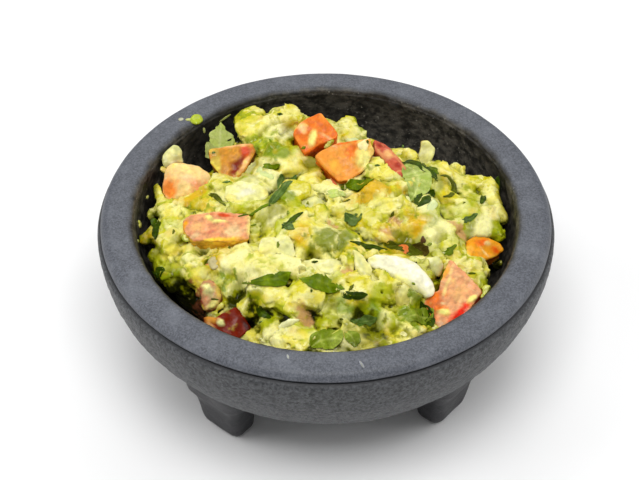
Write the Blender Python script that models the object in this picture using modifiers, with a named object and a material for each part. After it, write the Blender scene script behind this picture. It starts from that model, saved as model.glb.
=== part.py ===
"""Guacamole in its small mortar-shaped serving bowl, with diced tomato and onion in the mash.

Frame: metres, +Z up, origin on the table under the middle of the bowl. The four feet stand on the
diagonals, and -Y is the front. Each loose solid is one object: the bowl with its feet, the mash, and
every dice of tomato and petal of onion. The pieces keep TOUCH clear of each other.
"""

import math
from typing import NamedTuple

import bmesh
import bpy
from mathutils import Matrix, Vector

MM = 0.001
TOUCH = 0.3 * MM

# ---- bowl -------------------------------------------------------------------------------------
BOWL_RADIUS = 65.0 * MM
RIM_HEIGHT = 53.0 * MM
RIM_INNER = 55.6 * MM
RIM_OUTER = 64.0 * MM
RIM_ROUND = 2.6 * MM
RIM_STEPS = 3
GROOVE_DEPTH = 0.9 * MM
GROOVE_WIDTH = 0.8 * MM
BULGE_HEIGHT = 48.3 * MM
BELLY_BOTTOM = 14.5 * MM
BELLY_FLAT = 35.0 * MM
BELLY_POWER = 1.87
BELLY_STEPS = 8
CAVITY_FLOOR = 19.5 * MM
CAVITY_MOUTH = 54.2 * MM
CAVITY_POWER = 2.35
CAVITY_SHARES = (0.94, 0.76, 0.52, 0.3, 0.14, 0.04)
BOWL_STEPS = 60

# ---- feet -------------------------------------------------------------------------------------
FOOT_COUNT = 4
FOOT_TURN = math.radians(45.0)
FOOT_REACH = 47.7 * MM
FOOT_DEPTH = 8.5 * MM
FOOT_WIDTH = 14.0 * MM
FOOT_FLARE = 2.7 * MM
FOOT_TOP = 27.0 * MM
FOOT_CORNER = 2.8 * MM
FOOT_SOLE = 1.4 * MM

# ---- mash -------------------------------------------------------------------------------------
MASH_MIDDLE = 54.5 * MM
MASH_POWER = 2.4
MASH_EDGE_POWER = 8
MASH_WALL_ROOM = 0.6 * MM
MASH_SIDE_SHARE = 0.2
MASH_SEGMENTS = 52
MASH_RINGS = 26
MASH_LUMPS = 46
MASH_LUMP_SPREAD = 46.0 * MM
MASH_LUMP_REACH = 5.0 * MM
MASH_LUMP_RISE = 1.5 * MM
MASH_LUMP_SINK = -1.3
GOLDEN_TURN = math.pi * (3.0 - math.sqrt(5.0))

# ---- tomato and onion -------------------------------------------------------------------------
TOMATO_CUTS = (3, 3, 2)
TOMATO_CORNER = 6.0
ONION_CUTS = (4, 1, 1)
ONION_CORNER = 5.0
POCKET_CUTS = (4, 0, 0)
POCKET_CORNER = 60.0


class Shore(NamedTuple):
    """Where the mash ends in one direction: how far out, and how high it stands there."""

    azimuth: float
    radius: float
    height: float


class Mound(NamedTuple):
    """A rise (or, below zero, a hollow) in the mash: its middle, its reach in X and Y, its height."""

    x: float
    y: float
    reach_x: float
    reach_y: float
    rise: float


class Chunk(NamedTuple):
    """A cut piece.

    Its middle and its sizes are in millimetres. Its turn is how far the upper side leans, which way
    it leans, and how it is spun in its own plane, in degrees. The bulge is how far it arches along X
    and the taper how much its near end is narrower.
    """

    name: str
    middle: tuple
    size: tuple
    turn: tuple
    bulge: float
    taper: float


SHORES = (
    Shore(0, 49.8, 46.5),
    Shore(20, 47.5, 47.5),
    Shore(42, 41.0, 48.0),
    Shore(60, 38.0, 48.0),
    Shore(80, 41.0, 49.5),
    Shore(96, 45.5, 52.5),
    Shore(112, 48.5, 52.5),
    Shore(126, 42.5, 47.0),
    Shore(142, 42.5, 46.5),
    Shore(156, 48.5, 48.0),
    Shore(180, 50.0, 46.0),
    Shore(200, 48.0, 44.0),
    Shore(215, 40.5, 42.0),
    Shore(236, 42.5, 40.0),
    Shore(255, 47.0, 43.0),
    Shore(275, 48.5, 45.0),
    Shore(300, 48.5, 45.0),
    Shore(325, 48.5, 45.5),
    Shore(341, 45.5, 44.5),
)

MOUNDS = (
    Mound(-13, 40, 10, 8, 3.6),
    Mound(-3, 14, 10, 5, -1.6),
    Mound(8, -15, 15, 4.5, -3.2),
    Mound(-22, -23, 13, 6, 2.6),
    Mound(9, -27, 15, 5.5, 2.8),
    Mound(-8, -39, 13, 5, -1.6),
    Mound(30, 4, 10, 9, 1.6),
    Mound(-30, -4, 9, 7, 1.4),
)

TOMATO = (
    Chunk("tomato_1", (-0.1, 28.6, 54.6), (10.4, 10.2, 8.0), (27, -95, 40), 0.06, 0.00),
    Chunk("tomato_2", (6.4, 18.5, 53.4), (13.2, 9.8, 8.0), (30, -86, 14), 0.05, 0.30),
    Chunk("tomato_3", (19.4, 19.9, 52.2), (11.5, 2.8, 7.0), (12, -50, -56), 0.18, 0.00),
    Chunk("tomato_4", (-25.3, 24.7, 49.8), (12.2, 9.6, 8.5), (26, -100, 0), 0.08, 0.36),
    Chunk("tomato_5", (-38.8, 18.6, 48.4), (14.6, 10.0, 8.5), (28, -84, -10), 0.20, 0.00),
    Chunk("tomato_6", (-31.1, -4.6, 51.4), (19.6, 8.8, 5.4), (14, -84, 3), 0.04, 0.10),
    Chunk("tomato_7", (32.7, -31.9, 45.8), (11.8, 12.0, 8.0), (30, -128, -42), 0.06, 0.05),
    Chunk("tomato_8", (-30.2, -30.9, 40.6), (11.6, 8.6, 8.0), (30, -70, -30), 0.06, 0.00),
    Chunk("tomato_9", (43.9, -10.8, 43.2), (10.4, 6.6, 6.0), (22, -60, 2), 0.12, 0.00),
    Chunk("tomato_10", (-34.8, -20.1, 43.4), (8.4, 7.0, 6.0), (28, -110, 20), 0.16, 0.00),
)

ONION = (
    Chunk("onion_1", (18.1, -26.4, 51.4), (19.6, 4.6, 4.2), (20, -70, -25), 0.30, 0.00),
    Chunk("onion_2", (18.5, -33.3, 48.2), (5.0, 9.0, 3.0), (48, -84, 6), 0.12, 0.00),
    Chunk("onion_3", (8.0, -25.4, 53.2), (13.0, 3.2, 2.8), (30, -70, -58), 0.10, 0.00),
    Chunk("onion_4", (-3.6, -22.6, 52.2), (13.0, 5.0, 2.8), (24, -90, 2), 0.14, 0.00),
    Chunk("onion_5", (-21.4, 8.7, 52.6), (12.0, 7.0, 4.0), (26, -90, -4), 0.16, 0.00),
    Chunk("onion_6", (-42.5, 28.1, 51.2), (5.0, 7.0, 2.4), (50, -64, 6), 0.10, -0.40),
    Chunk("onion_7", (31.9, 25.3, 48.6), (3.8, 9.2, 2.2), (60, -84, -14), 0.06, 0.00),
    Chunk("onion_8", (-14.4, -13.9, 52.2), (9.0, 7.0, 5.0), (24, -76, -10), 0.16, 0.00),
    Chunk("onion_9", (28.4, -21.7, 49.4), (4.4, 6.6, 2.4), (46, -110, -16), 0.10, 0.00),
    Chunk("onion_10", (-3.5, 2.2, 53.4), (7.6, 4.6, 3.0), (20, -90, 12), 0.16, 0.00),
)


# ---- measures shared by the shapes --------------------------------------------------------------
def smooth(t: float) -> float:
    """Eases a share from 0 to 1."""
    return t * t * (3.0 - 2.0 * t)


def cavity_radius(height: float) -> float:
    """Radius of the bowl's inner wall at a height."""
    share = max(0.0, min(1.0, (height - CAVITY_FLOOR) / (RIM_HEIGHT - CAVITY_FLOOR)))
    return CAVITY_MOUTH * (1.0 - (1.0 - share) ** CAVITY_POWER) ** (1.0 / CAVITY_POWER)


def cavity_height(radius: float) -> float:
    """Height of the bowl's inner wall at a radius."""
    share = max(0.0, min(1.0, radius / CAVITY_MOUTH))
    rise = 1.0 - (1.0 - share**CAVITY_POWER) ** (1.0 / CAVITY_POWER)
    return CAVITY_FLOOR + rise * (RIM_HEIGHT - CAVITY_FLOOR)


def shore(angle: float) -> tuple:
    """Plan radius and height of the mash's edge in one direction, eased between the stated ones."""
    degrees = math.degrees(angle) % 360.0
    after = next((s for s in SHORES if s.azimuth > degrees), SHORES[0])
    before = SHORES[SHORES.index(after) - 1]
    span = (after.azimuth - before.azimuth) % 360.0
    t = smooth(((degrees - before.azimuth) % 360.0) / span)
    return (
        (before.radius + (after.radius - before.radius) * t) * MM,
        (before.height + (after.height - before.height) * t) * MM,
    )


def lumps(x: float, y: float) -> float:
    """The mash's coarse lumps: round rises and hollows, spread evenly by the golden angle."""
    total = 0.0
    for k in range(MASH_LUMPS):
        out = MASH_LUMP_SPREAD * math.sqrt((k + 0.5) / MASH_LUMPS)
        turn = k * GOLDEN_TURN
        away = math.hypot(x - out * math.cos(turn), y - out * math.sin(turn))
        rise = MASH_LUMP_RISE * (1.0 if k % 3 else MASH_LUMP_SINK)
        total += rise * math.exp(-((away / MASH_LUMP_REACH) ** 2))
    return total


def mash_height(x: float, y: float) -> float:
    """Height of the mash's top over a point of the plan."""
    edge, height = shore(math.atan2(y, x))
    share = min(1.0, math.hypot(x, y) / edge)
    rise = sum(
        m.rise * math.exp(-(((x / MM - m.x) / m.reach_x) ** 2) - ((y / MM - m.y) / m.reach_y) ** 2)
        for m in MOUNDS
    )
    inside = 1.0 - share**MASH_EDGE_POWER
    return height + (MASH_MIDDLE - height) * (1.0 - share**MASH_POWER) + (rise * MM + lumps(x, y)) * inside


# ---- scene helpers ------------------------------------------------------------------------------
def clear_scene() -> None:
    """Removes what the startup file holds."""
    for old in list(bpy.data.objects):
        bpy.data.objects.remove(old, do_unlink=True)


def collection(name: str) -> bpy.types.Collection:
    """A new collection in the scene."""
    made = bpy.data.collections.new(name)
    bpy.context.scene.collection.children.link(made)
    return made


def material(name: str, colour: tuple, roughness: float) -> bpy.types.Material:
    """A plain material with a colour and a roughness."""
    made = bpy.data.materials.new(name)
    made.use_nodes = True
    shader = made.node_tree.nodes["Principled BSDF"]
    shader.inputs["Base Color"].default_value = colour
    shader.inputs["Roughness"].default_value = roughness
    return made


def new_object(name: str, build, finish: bpy.types.Material, home: bpy.types.Collection):
    """An object whose mesh is what build(bm) leaves in an empty bmesh."""
    bm = bmesh.new()
    build(bm)
    mesh = bpy.data.meshes.new(name)
    bm.to_mesh(mesh)
    bm.free()
    mesh.materials.append(finish)
    made = bpy.data.objects.new(name, mesh)
    home.objects.link(made)
    return made


def boolean(body, other, operation: str) -> None:
    """Joins other to body, or cuts it from it."""
    step = body.modifiers.new(f"{operation.title()} {other.name}", "BOOLEAN")
    step.operation = operation
    step.object = other
    step.solver = "EXACT"


def as_helper(piece) -> None:
    """Marks a cutter or a joined shape, which is no part of its own."""
    piece.hide_render = True
    piece.display_type = "WIRE"


# ---- bowl ---------------------------------------------------------------------------------------
def bowl_profile() -> list:
    """The bowl's section, (radius, height), from the outer floor's middle up, over the rim and down inside."""
    outline = [(0.0, BELLY_BOTTOM)]
    for k in range(BELLY_STEPS, -1, -1):
        a = 0.5 * math.pi * k / BELLY_STEPS
        out = math.cos(a) ** (2.0 / BELLY_POWER)
        down = math.sin(a) ** (2.0 / BELLY_POWER)
        outline.append(
            (
                BELLY_FLAT + (BOWL_RADIUS - BELLY_FLAT) * out,
                BULGE_HEIGHT - (BULGE_HEIGHT - BELLY_BOTTOM) * down,
            )
        )
    groove = RIM_HEIGHT - RIM_ROUND
    outline.append((RIM_OUTER, groove - GROOVE_WIDTH))
    outline.append((RIM_OUTER - GROOVE_DEPTH, groove - 0.5 * GROOVE_WIDTH))
    for k in range(RIM_STEPS + 1):
        a = 0.5 * math.pi * k / RIM_STEPS
        outline.append(
            (
                RIM_OUTER - RIM_ROUND * (1.0 - math.cos(a)),
                groove + RIM_ROUND * math.sin(a),
            )
        )
    outline.append((RIM_INNER, RIM_HEIGHT))
    for share in CAVITY_SHARES:
        height = CAVITY_FLOOR + share * (RIM_HEIGHT - CAVITY_FLOOR)
        outline.append((cavity_radius(height), height))
    outline.append((0.0, CAVITY_FLOOR))
    return outline


def build_bowl(home, helpers, finish):
    """The turned bowl with its four feet, one solid."""

    def section(bm):
        # A screw on +X wants the outer side running downwards.
        points = [bm.verts.new((r, 0.0, z)) for r, z in reversed(bowl_profile())]
        for a, b in zip(points, points[1:]):
            bm.edges.new((a, b))

    bowl = new_object("bowl", section, finish, home)
    turn = bowl.modifiers.new("Turned", "SCREW")
    turn.steps = turn.render_steps = BOWL_STEPS
    turn.use_merge_vertices = True
    turn.merge_threshold = 0.05 * MM
    turn.use_smooth_shade = True
    for k in range(FOOT_COUNT):
        foot = build_foot(k, helpers, finish)
        boolean(bowl, foot, "UNION")
    return bowl


def build_foot(number: int, helpers, finish):
    """One foot: a block wider than it is deep, which leans in and narrows towards the table."""
    angle = FOOT_TURN + number * 2.0 * math.pi / FOOT_COUNT
    lean = FOOT_FLARE * FOOT_TOP / BELLY_BOTTOM

    def block(bm):
        bmesh.ops.create_cube(bm, size=1.0)
        for v in bm.verts:
            up = v.co.z > 0
            half = 0.5 * FOOT_WIDTH + (0.5 * lean if up else 0.0)
            out = FOOT_REACH + (lean if up else 0.0)
            inner = FOOT_REACH - FOOT_DEPTH
            v.co = (out if v.co.x > 0 else inner, math.copysign(half, v.co.y), FOOT_TOP if up else 0.0)
        upright = [e for e in bm.edges if abs(e.verts[0].co.z - e.verts[1].co.z) > 0.5 * FOOT_TOP]
        bmesh.ops.bevel(bm, geom=upright, offset=FOOT_CORNER, segments=3, profile=0.5, affect="EDGES")
        sole = [e for e in bm.edges if max(v.co.z for v in e.verts) < 0.1 * MM]
        bmesh.ops.bevel(bm, geom=sole, offset=FOOT_SOLE, segments=2, profile=0.5, affect="EDGES")
        bmesh.ops.recalc_face_normals(bm, faces=bm.faces)

    foot = new_object(f"foot_{number + 1}", block, finish, helpers)
    foot.rotation_euler = (0.0, 0.0, angle)
    as_helper(foot)
    return foot


# ---- mash ---------------------------------------------------------------------------------------
def build_mash(home, finish):
    """The mashed avocado: a lumpy heap whose underside follows the inside of the bowl."""

    def heap(bm):
        bmesh.ops.create_uvsphere(bm, u_segments=MASH_SEGMENTS, v_segments=MASH_RINGS, radius=1.0)
        for v in bm.verts:
            angle = math.atan2(v.co.y, v.co.x)
            tilt = math.acos(max(-1.0, min(1.0, v.co.z)))
            edge, height = shore(angle)
            if tilt <= 0.5 * math.pi:
                out = edge * math.sin(tilt)
                x, y = out * math.cos(angle), out * math.sin(angle)
                v.co = (x, y, mash_height(x, y))
                continue
            share = (tilt - 0.5 * math.pi) / (0.5 * math.pi)
            out = edge * math.cos(0.5 * math.pi * share)
            wall = cavity_height(out + MASH_WALL_ROOM) + 2.0 * TOUCH
            # The heap's side drops from its edge to the wall under it.
            drop = smooth(min(1.0, share / MASH_SIDE_SHARE))
            z = min(wall + (height - wall) * (1.0 - drop), height)
            v.co = (out * math.cos(angle), out * math.sin(angle), z)
        bmesh.ops.recalc_face_normals(bm, faces=bm.faces)

    return new_object("guacamole", heap, finish, home)


# ---- tomato and onion ---------------------------------------------------------------------------
def chunk_pose(chunk: Chunk) -> Matrix:
    """Where a cut piece lies: its upper side leans towards one direction of the plan."""
    lean, towards, spin = (math.radians(a) for a in chunk.turn)
    turned = (
        Matrix.Rotation(towards, 4, "Z")
        @ Matrix.Rotation(lean, 4, "Y")
        @ Matrix.Rotation(spin - towards, 4, "Z")
    )
    return Matrix.Translation(Vector(chunk.middle) * MM) @ turned


def chunk_shape(chunk: Chunk, cuts: tuple, corner: float, grow: float = 0.0):
    """A builder for a cut piece: a block with rounded edges, arched and tapered as its kind is."""
    half = Vector(chunk.size) * 0.5 * MM
    pose = chunk_pose(chunk)

    def shape(bm):
        bmesh.ops.create_cube(bm, size=2.0)
        for axis, count in enumerate(cuts):
            along = [
                e
                for e in bm.edges
                if abs((e.verts[0].co - e.verts[1].co).normalized()[axis]) > 0.9
            ]
            if count:
                bmesh.ops.subdivide_edges(bm, edges=along, cuts=count, use_grid_fill=True)
        for v in bm.verts:
            unit = Vector(v.co)
            length = sum(abs(c) ** corner for c in unit) ** (1.0 / corner)
            ball = unit / max(length, 1e-6) * max(abs(c) for c in unit)
            arch = chunk.bulge * (0.5 - ball.x**2)
            end = 1.0 - 0.5 * chunk.bulge * ball.x**2
            near = 1.0 - chunk.taper * (0.5 - 0.5 * unit.y)
            v.co = pose @ Vector(
                (
                    ball.x * (half.x * near + grow),
                    ball.y * (half.y * end + grow),
                    ball.z * (half.z + grow) + arch * half.x,
                )
            )

    return shape


def build_chunks(chunks: tuple, cuts: tuple, corner: float, finish, home, helpers, mash) -> None:
    """The cut pieces, and the square-cornered pocket that each one sits in, cut from the mash."""
    for chunk in chunks:
        new_object(chunk.name, chunk_shape(chunk, cuts, corner), finish, home)
        block = chunk_shape(chunk, POCKET_CUTS, POCKET_CORNER, TOUCH)
        pocket = new_object(f"pocket_{chunk.name}", block, finish, helpers)
        as_helper(pocket)
        boolean(mash, pocket, "DIFFERENCE")


def main() -> None:
    """Builds the bowl and what it holds."""
    clear_scene()
    home = collection("Guacamole bowl")
    helpers = collection("Cutters")
    stone = material("Moulded stone black", (0.055, 0.058, 0.068, 1.0), 0.55)
    avocado = material("Mashed avocado", (0.55, 0.60, 0.13, 1.0), 0.4)
    tomato = material("Diced tomato", (0.62, 0.07, 0.02, 1.0), 0.25)
    onion = material("White onion", (0.85, 0.86, 0.62, 1.0), 0.3)
    build_bowl(home, helpers, stone)
    mash = build_mash(home, avocado)
    build_chunks(TOMATO, TOMATO_CUTS, TOMATO_CORNER, tomato, home, helpers, mash)
    build_chunks(ONION, ONION_CUTS, ONION_CORNER, onion, home, helpers, mash)


main()
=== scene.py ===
"""Guacamole in its moulded serving bowl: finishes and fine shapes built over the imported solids.

The bowl is a black stone-look casting with four feet. In it lies coarse avocado mash with diced
tomato, petals of white onion and torn coriander. Everything is in metres, +Z up, -Y the front.
"""

import logging
import math
import random
from contextlib import contextmanager
from dataclasses import dataclass, field
from enum import Enum
from typing import Iterator, Sequence

import bpy
import numpy as np
from mathutils import Matrix, Vector
from mathutils.bvhtree import BVHTree
from mathutils.kdtree import KDTree


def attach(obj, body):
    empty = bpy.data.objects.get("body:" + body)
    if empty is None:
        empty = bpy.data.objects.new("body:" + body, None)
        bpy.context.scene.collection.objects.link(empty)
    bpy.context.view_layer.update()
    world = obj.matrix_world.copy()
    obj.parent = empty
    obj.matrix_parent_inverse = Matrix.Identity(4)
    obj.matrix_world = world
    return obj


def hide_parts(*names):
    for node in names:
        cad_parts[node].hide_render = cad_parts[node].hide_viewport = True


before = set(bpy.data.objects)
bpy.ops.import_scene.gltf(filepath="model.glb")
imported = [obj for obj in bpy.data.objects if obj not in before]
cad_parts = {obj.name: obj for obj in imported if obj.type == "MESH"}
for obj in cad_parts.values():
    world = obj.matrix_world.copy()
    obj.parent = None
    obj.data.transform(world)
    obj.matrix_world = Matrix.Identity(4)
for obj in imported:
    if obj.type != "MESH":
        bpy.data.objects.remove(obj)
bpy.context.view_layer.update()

MM = 0.001
BODY = "root"
GOLDEN_TURN = math.pi * (3.0 - math.sqrt(5.0))
SERVING_SIDE = Vector((-0.05, -0.52, 0.85)).normalized()

Piece = bpy.types.Object
Socket = bpy.types.NodeSocket
Array = np.ndarray

log = logging.getLogger("guacamole")


# ---- small tools --------------------------------------------------------------------------------
def srgb(red: float, green: float, blue: float) -> tuple[float, float, float, float]:
    """Turns a display colour into a linear one.

    Args:
        red: Display red, 0 to 255.
        green: Display green, 0 to 255.
        blue: Display blue, 0 to 255.

    Returns:
        The linear colour with full opacity.
    """
    parts = []
    for value in (red, green, blue):
        share = value / 255.0
        parts.append(share / 12.92 if share <= 0.04045 else ((share + 0.055) / 1.055) ** 2.4)
    return (parts[0], parts[1], parts[2], 1.0)


def select_only(*pieces: Piece) -> None:
    """Selects these objects alone and makes the first one active.

    Args:
        *pieces: What is selected.
    """
    bpy.ops.object.select_all(action="DESELECT")
    for piece in pieces:
        piece.select_set(True)
    bpy.context.view_layer.objects.active = pieces[0]


@contextmanager
def editing(piece: Piece, mode: str = "VERT", whole: bool = True) -> Iterator[None]:
    """Opens a piece in edit mode, and closes it again.

    Args:
        piece: The mesh object.
        mode: What is selected there: VERT, EDGE or FACE.
        whole: Whether all of it is selected; without it, what was marked before is.

    Returns:
        A context; edit mode ends with it.
    """
    select_only(piece)
    bpy.ops.object.mode_set(mode="EDIT")
    bpy.ops.mesh.select_mode(type=mode)
    if whole:
        bpy.ops.mesh.select_all(action="SELECT")
    try:
        yield
    finally:
        bpy.ops.object.mode_set(mode="OBJECT")


def apply_modifier(piece: Piece, kind: str, **settings: object) -> None:
    """Adds a modifier to a piece and applies it.

    Args:
        piece: The mesh object.
        kind: The modifier's type.
        **settings: Values for the modifier's own fields.
    """
    select_only(piece)
    step = piece.modifiers.new(kind.title(), kind)
    for name, value in settings.items():
        setattr(step, name, value)
    bpy.ops.object.modifier_apply(modifier=step.name)


def rows_of(items: bpy.types.bpy_prop_collection, name: str) -> Array:
    """Reads a vector of each item.

    Args:
        items: Part of a mesh's data.
        name: The vector's name.

    Returns:
        One row of three for each item.
    """
    flat = np.empty(len(items) * 3, np.float32)
    items.foreach_get(name, flat)
    return flat.reshape(-1, 3).astype(float)


def points_of(piece: Piece) -> Array:
    """The piece's vertices, one row each."""
    return rows_of(piece.data.vertices, "co")


def normals_of(piece: Piece) -> Array:
    """The piece's vertex normals, one row each."""
    return rows_of(piece.data.vertex_normals, "vector")


def move_points(piece: Piece, points: Array) -> None:
    """Puts the piece's vertices at these places."""
    piece.data.vertices.foreach_set("co", points.astype(np.float32).ravel())
    piece.data.update()


def shade_smooth(piece: Piece, angle: float = 180.0) -> None:
    """Shades a piece smooth where its faces meet at less than an angle in degrees."""
    select_only(piece)
    bpy.ops.object.shade_smooth_by_angle(angle=math.radians(angle))


def held(values: Array) -> Array:
    """Values held between 0 and 1."""
    return np.clip(values, 0.0, 1.0)


def blend(first: Array, second: Array, share: Array) -> Array:
    """Moves colours part of the way to others, by a share for each row."""
    return first * (1.0 - share[:, None]) + second * share[:, None]


def paint(piece: Piece, name: str, colours: Array) -> None:
    """Writes a colour for each vertex.

    Args:
        piece: The mesh object.
        name: The attribute's name.
        colours: Linear colours, one row of three for each vertex.
    """
    layer = piece.data.attributes.new(name, "FLOAT_COLOR", "POINT")
    full = np.ones((len(colours), 4), np.float32)
    full[:, :3] = held(colours)
    layer.data.foreach_set("color", full.ravel())


def copy_piece(piece: Piece, name: str, place: Matrix) -> Piece:
    """A copy with its own mesh, moved to a place.

    Args:
        piece: What is copied.
        name: The copy's name.
        place: Where its mesh goes.

    Returns:
        The new object, which sits at the origin.
    """
    made = bpy.data.objects.new(name, piece.data.copy())
    made.data.transform(place)
    bpy.context.scene.collection.objects.link(made)
    return made


def join(pieces: Sequence[Piece], name: str) -> Piece:
    """Joins pieces into the first one and names it.

    Args:
        pieces: What is joined.
        name: The whole's name.

    Returns:
        The joined object.
    """
    select_only(*pieces)
    bpy.ops.object.join()
    whole = bpy.context.view_layer.objects.active
    whole.name = whole.data.name = name
    return whole


def solid_copy(node: str, name: str) -> Piece:
    """A merged copy of a CAD node, free to be shaped.

    Args:
        node: The CAD node's name.
        name: The copy's name.

    Returns:
        The merged copy.
    """
    made = copy_piece(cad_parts[node], name, Matrix.Identity(4))
    made.data.materials.clear()
    with editing(made):
        bpy.ops.mesh.remove_doubles(threshold=0.01 * MM)
    return made


def tree_of(parts: Sequence[tuple[Piece, Array]]) -> BVHTree:
    """A tree for finding where rays meet faces.

    Args:
        parts: Mesh objects, each with the places of its vertices.

    Returns:
        The tree.
    """
    corners: list = []
    faces: list = []
    for piece, points in parts:
        start = len(corners)
        corners.extend(Vector(p) for p in points)
        faces.extend([start + i for i in p.vertices] for p in piece.data.polygons)
    return BVHTree.FromPolygons(corners, faces)


def surface_of(*pieces: Piece) -> BVHTree:
    """The tree of these pieces as they are."""
    return tree_of([(piece, points_of(piece)) for piece in pieces])


def primitive(kind: str, name: str, **settings: object) -> Piece:
    """Adds a simple mesh, selected alone.

    Args:
        kind: What is added: cube, circle, grid or plane.
        name: Its name.
        **settings: Its size and the like.

    Returns:
        The new object.
    """
    bpy.ops.object.select_all(action="DESELECT")
    getattr(bpy.ops.mesh, f"primitive_{kind}_add")(**settings)
    made = bpy.context.object
    made.name = made.data.name = name
    return made


def settle(piece: Piece, finish: bpy.types.Material) -> Piece:
    """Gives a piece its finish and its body.

    Args:
        piece: The finished mesh object.
        finish: Its material.

    Returns:
        The same piece.
    """
    piece.data.materials.clear()
    piece.data.materials.append(finish)
    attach(piece, BODY)
    log.info("%s: %d triangles", piece.name, len(piece.data.loops) - 2 * len(piece.data.polygons))
    return piece


class Grain:
    """Smooth seeded noise in space, for moving and tinting vertices."""

    SIDE = 48

    def __init__(self, seed: int) -> None:
        """Fills the lattice from a seed."""
        self.lattice = np.random.default_rng(seed).random((self.SIDE,) * 3)

    def at(self, points: Array, scale: float) -> Array:
        """Noise from -1 to 1 at some points.

        Args:
            points: Places, one row each, in metres.
            scale: The size of one swell, in metres.

        Returns:
            One value for each point.
        """
        spot = points / scale
        cell = np.floor(spot).astype(int)
        part = spot - cell
        part = part * part * (3.0 - 2.0 * part)
        total = np.zeros(len(points))
        for corner in range(8):
            step = np.array([corner & 1, corner >> 1 & 1, corner >> 2 & 1])
            share = np.prod(np.where(step, part, 1.0 - part), axis=1)
            index = (cell + step) % self.SIDE
            total += share * self.lattice[index[:, 0], index[:, 1], index[:, 2]]
        return total * 2.0 - 1.0

    def swells(self, points: Array, scale: float, octaves: int = 3) -> Array:
        """Several sizes of noise added up, each half as large and half as strong.

        Args:
            points: Places, one row each.
            scale: The size of the largest swell.
            octaves: How many sizes are added up.

        Returns:
            One value for each point.
        """
        total = np.zeros(len(points))
        for k in range(octaves):
            total += self.at(points + 0.37 * k * scale, scale / 2**k) / 2**k
        return total

    def facets(self, points: Array, size: float) -> tuple[Array, Array, Array, Array]:
        """Breaks space into crumbs, each with its own step and tilt.

        Args:
            points: Places, one row each, in metres.
            size: How far apart the crumbs are, in metres.

        Returns:
            For each point the crumb's raised or sunk share, from about -1 to 1, how near the point
            is to the crumb's border, from 1 on it to 0, a random share of the crumb's own, and the
            crumb's number.
        """
        spot = points / size
        cell = np.floor(spot).astype(int)
        first = np.full(len(points), 9.0)
        second = first.copy()
        step = np.zeros(len(points))
        own = np.zeros(len(points))
        number = np.zeros(len(points), int)
        for corner in range(27):
            near = cell + np.array([corner % 3, corner // 3 % 3, corner // 9]) - 1
            a, b, c = (near % self.SIDE).T
            jitter = np.stack([
                self.lattice[a, b, c], self.lattice[b, c, (a + 7) % self.SIDE],
                self.lattice[c, (a + 3) % self.SIDE, b],
            ], 1)
            away = spot - near - jitter
            far = np.linalg.norm(away, axis=1)
            closer = far < first
            second = np.where(closer, first, np.minimum(second, far))
            tilt = (jitter[:, [2, 0, 1]] - 0.5) * 1.8
            step = np.where(closer, (jitter[:, 0] - 0.5) * 1.6 + (away * tilt).sum(1), step)
            own = np.where(closer, jitter[:, 1], own)
            number = np.where(closer, (near + 500) @ np.array([1, 1009, 1018081]), number)
            first = np.where(closer, far, first)
        return step, held(1.0 - (second - first) / 0.22), own, number

    def drawn(self, points: Array, patch: float, ratio: float) -> Array:
        """Places squeezed along a heading that changes by patch, so that noise comes out drawn.

        Args:
            points: Places, one row each, in metres.
            patch: How far one heading holds, in metres.
            ratio: How many times as long as wide things come out.

        Returns:
            The squeezed places.
        """
        _, _, own, _ = self.facets(points + 0.31, patch)
        cos, sin = np.cos(own * math.tau), np.sin(own * math.tau)
        along = (points[:, 0] * cos + points[:, 1] * sin) / ratio
        across = points[:, 1] * cos - points[:, 0] * sin
        return np.stack([along, across, points[:, 2]], 1) + 0.05 * own[:, None]

    def folds(self, points: Array, size: float) -> Array:
        """Rounded folds with creases between them: 0 in the creases to 1 on the folds."""
        return held(2.4 * np.abs(self.at(points, size)))


def pooled(piece: Piece, values: Array, rounds: int) -> Array:
    """Averages values along the mesh's edges.

    Args:
        piece: The mesh object.
        values: One value or row for each vertex.
        rounds: How many times they are averaged.

    Returns:
        The averaged values.
    """
    ends = np.empty(len(piece.data.edges) * 2, np.int32)
    piece.data.edges.foreach_get("vertices", ends)
    a, b = ends.reshape(-1, 2).T
    count = len(piece.data.vertices)
    share = 1.0 / (1.0 + np.bincount(a, minlength=count) + np.bincount(b, minlength=count))
    table = values.reshape(count, -1).astype(float)
    for _ in range(rounds):
        table = np.stack([
            (column + np.bincount(a, column[b], count) + np.bincount(b, column[a], count)) * share
            for column in table.T
        ], 1)
    return table.reshape(values.shape)


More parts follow.
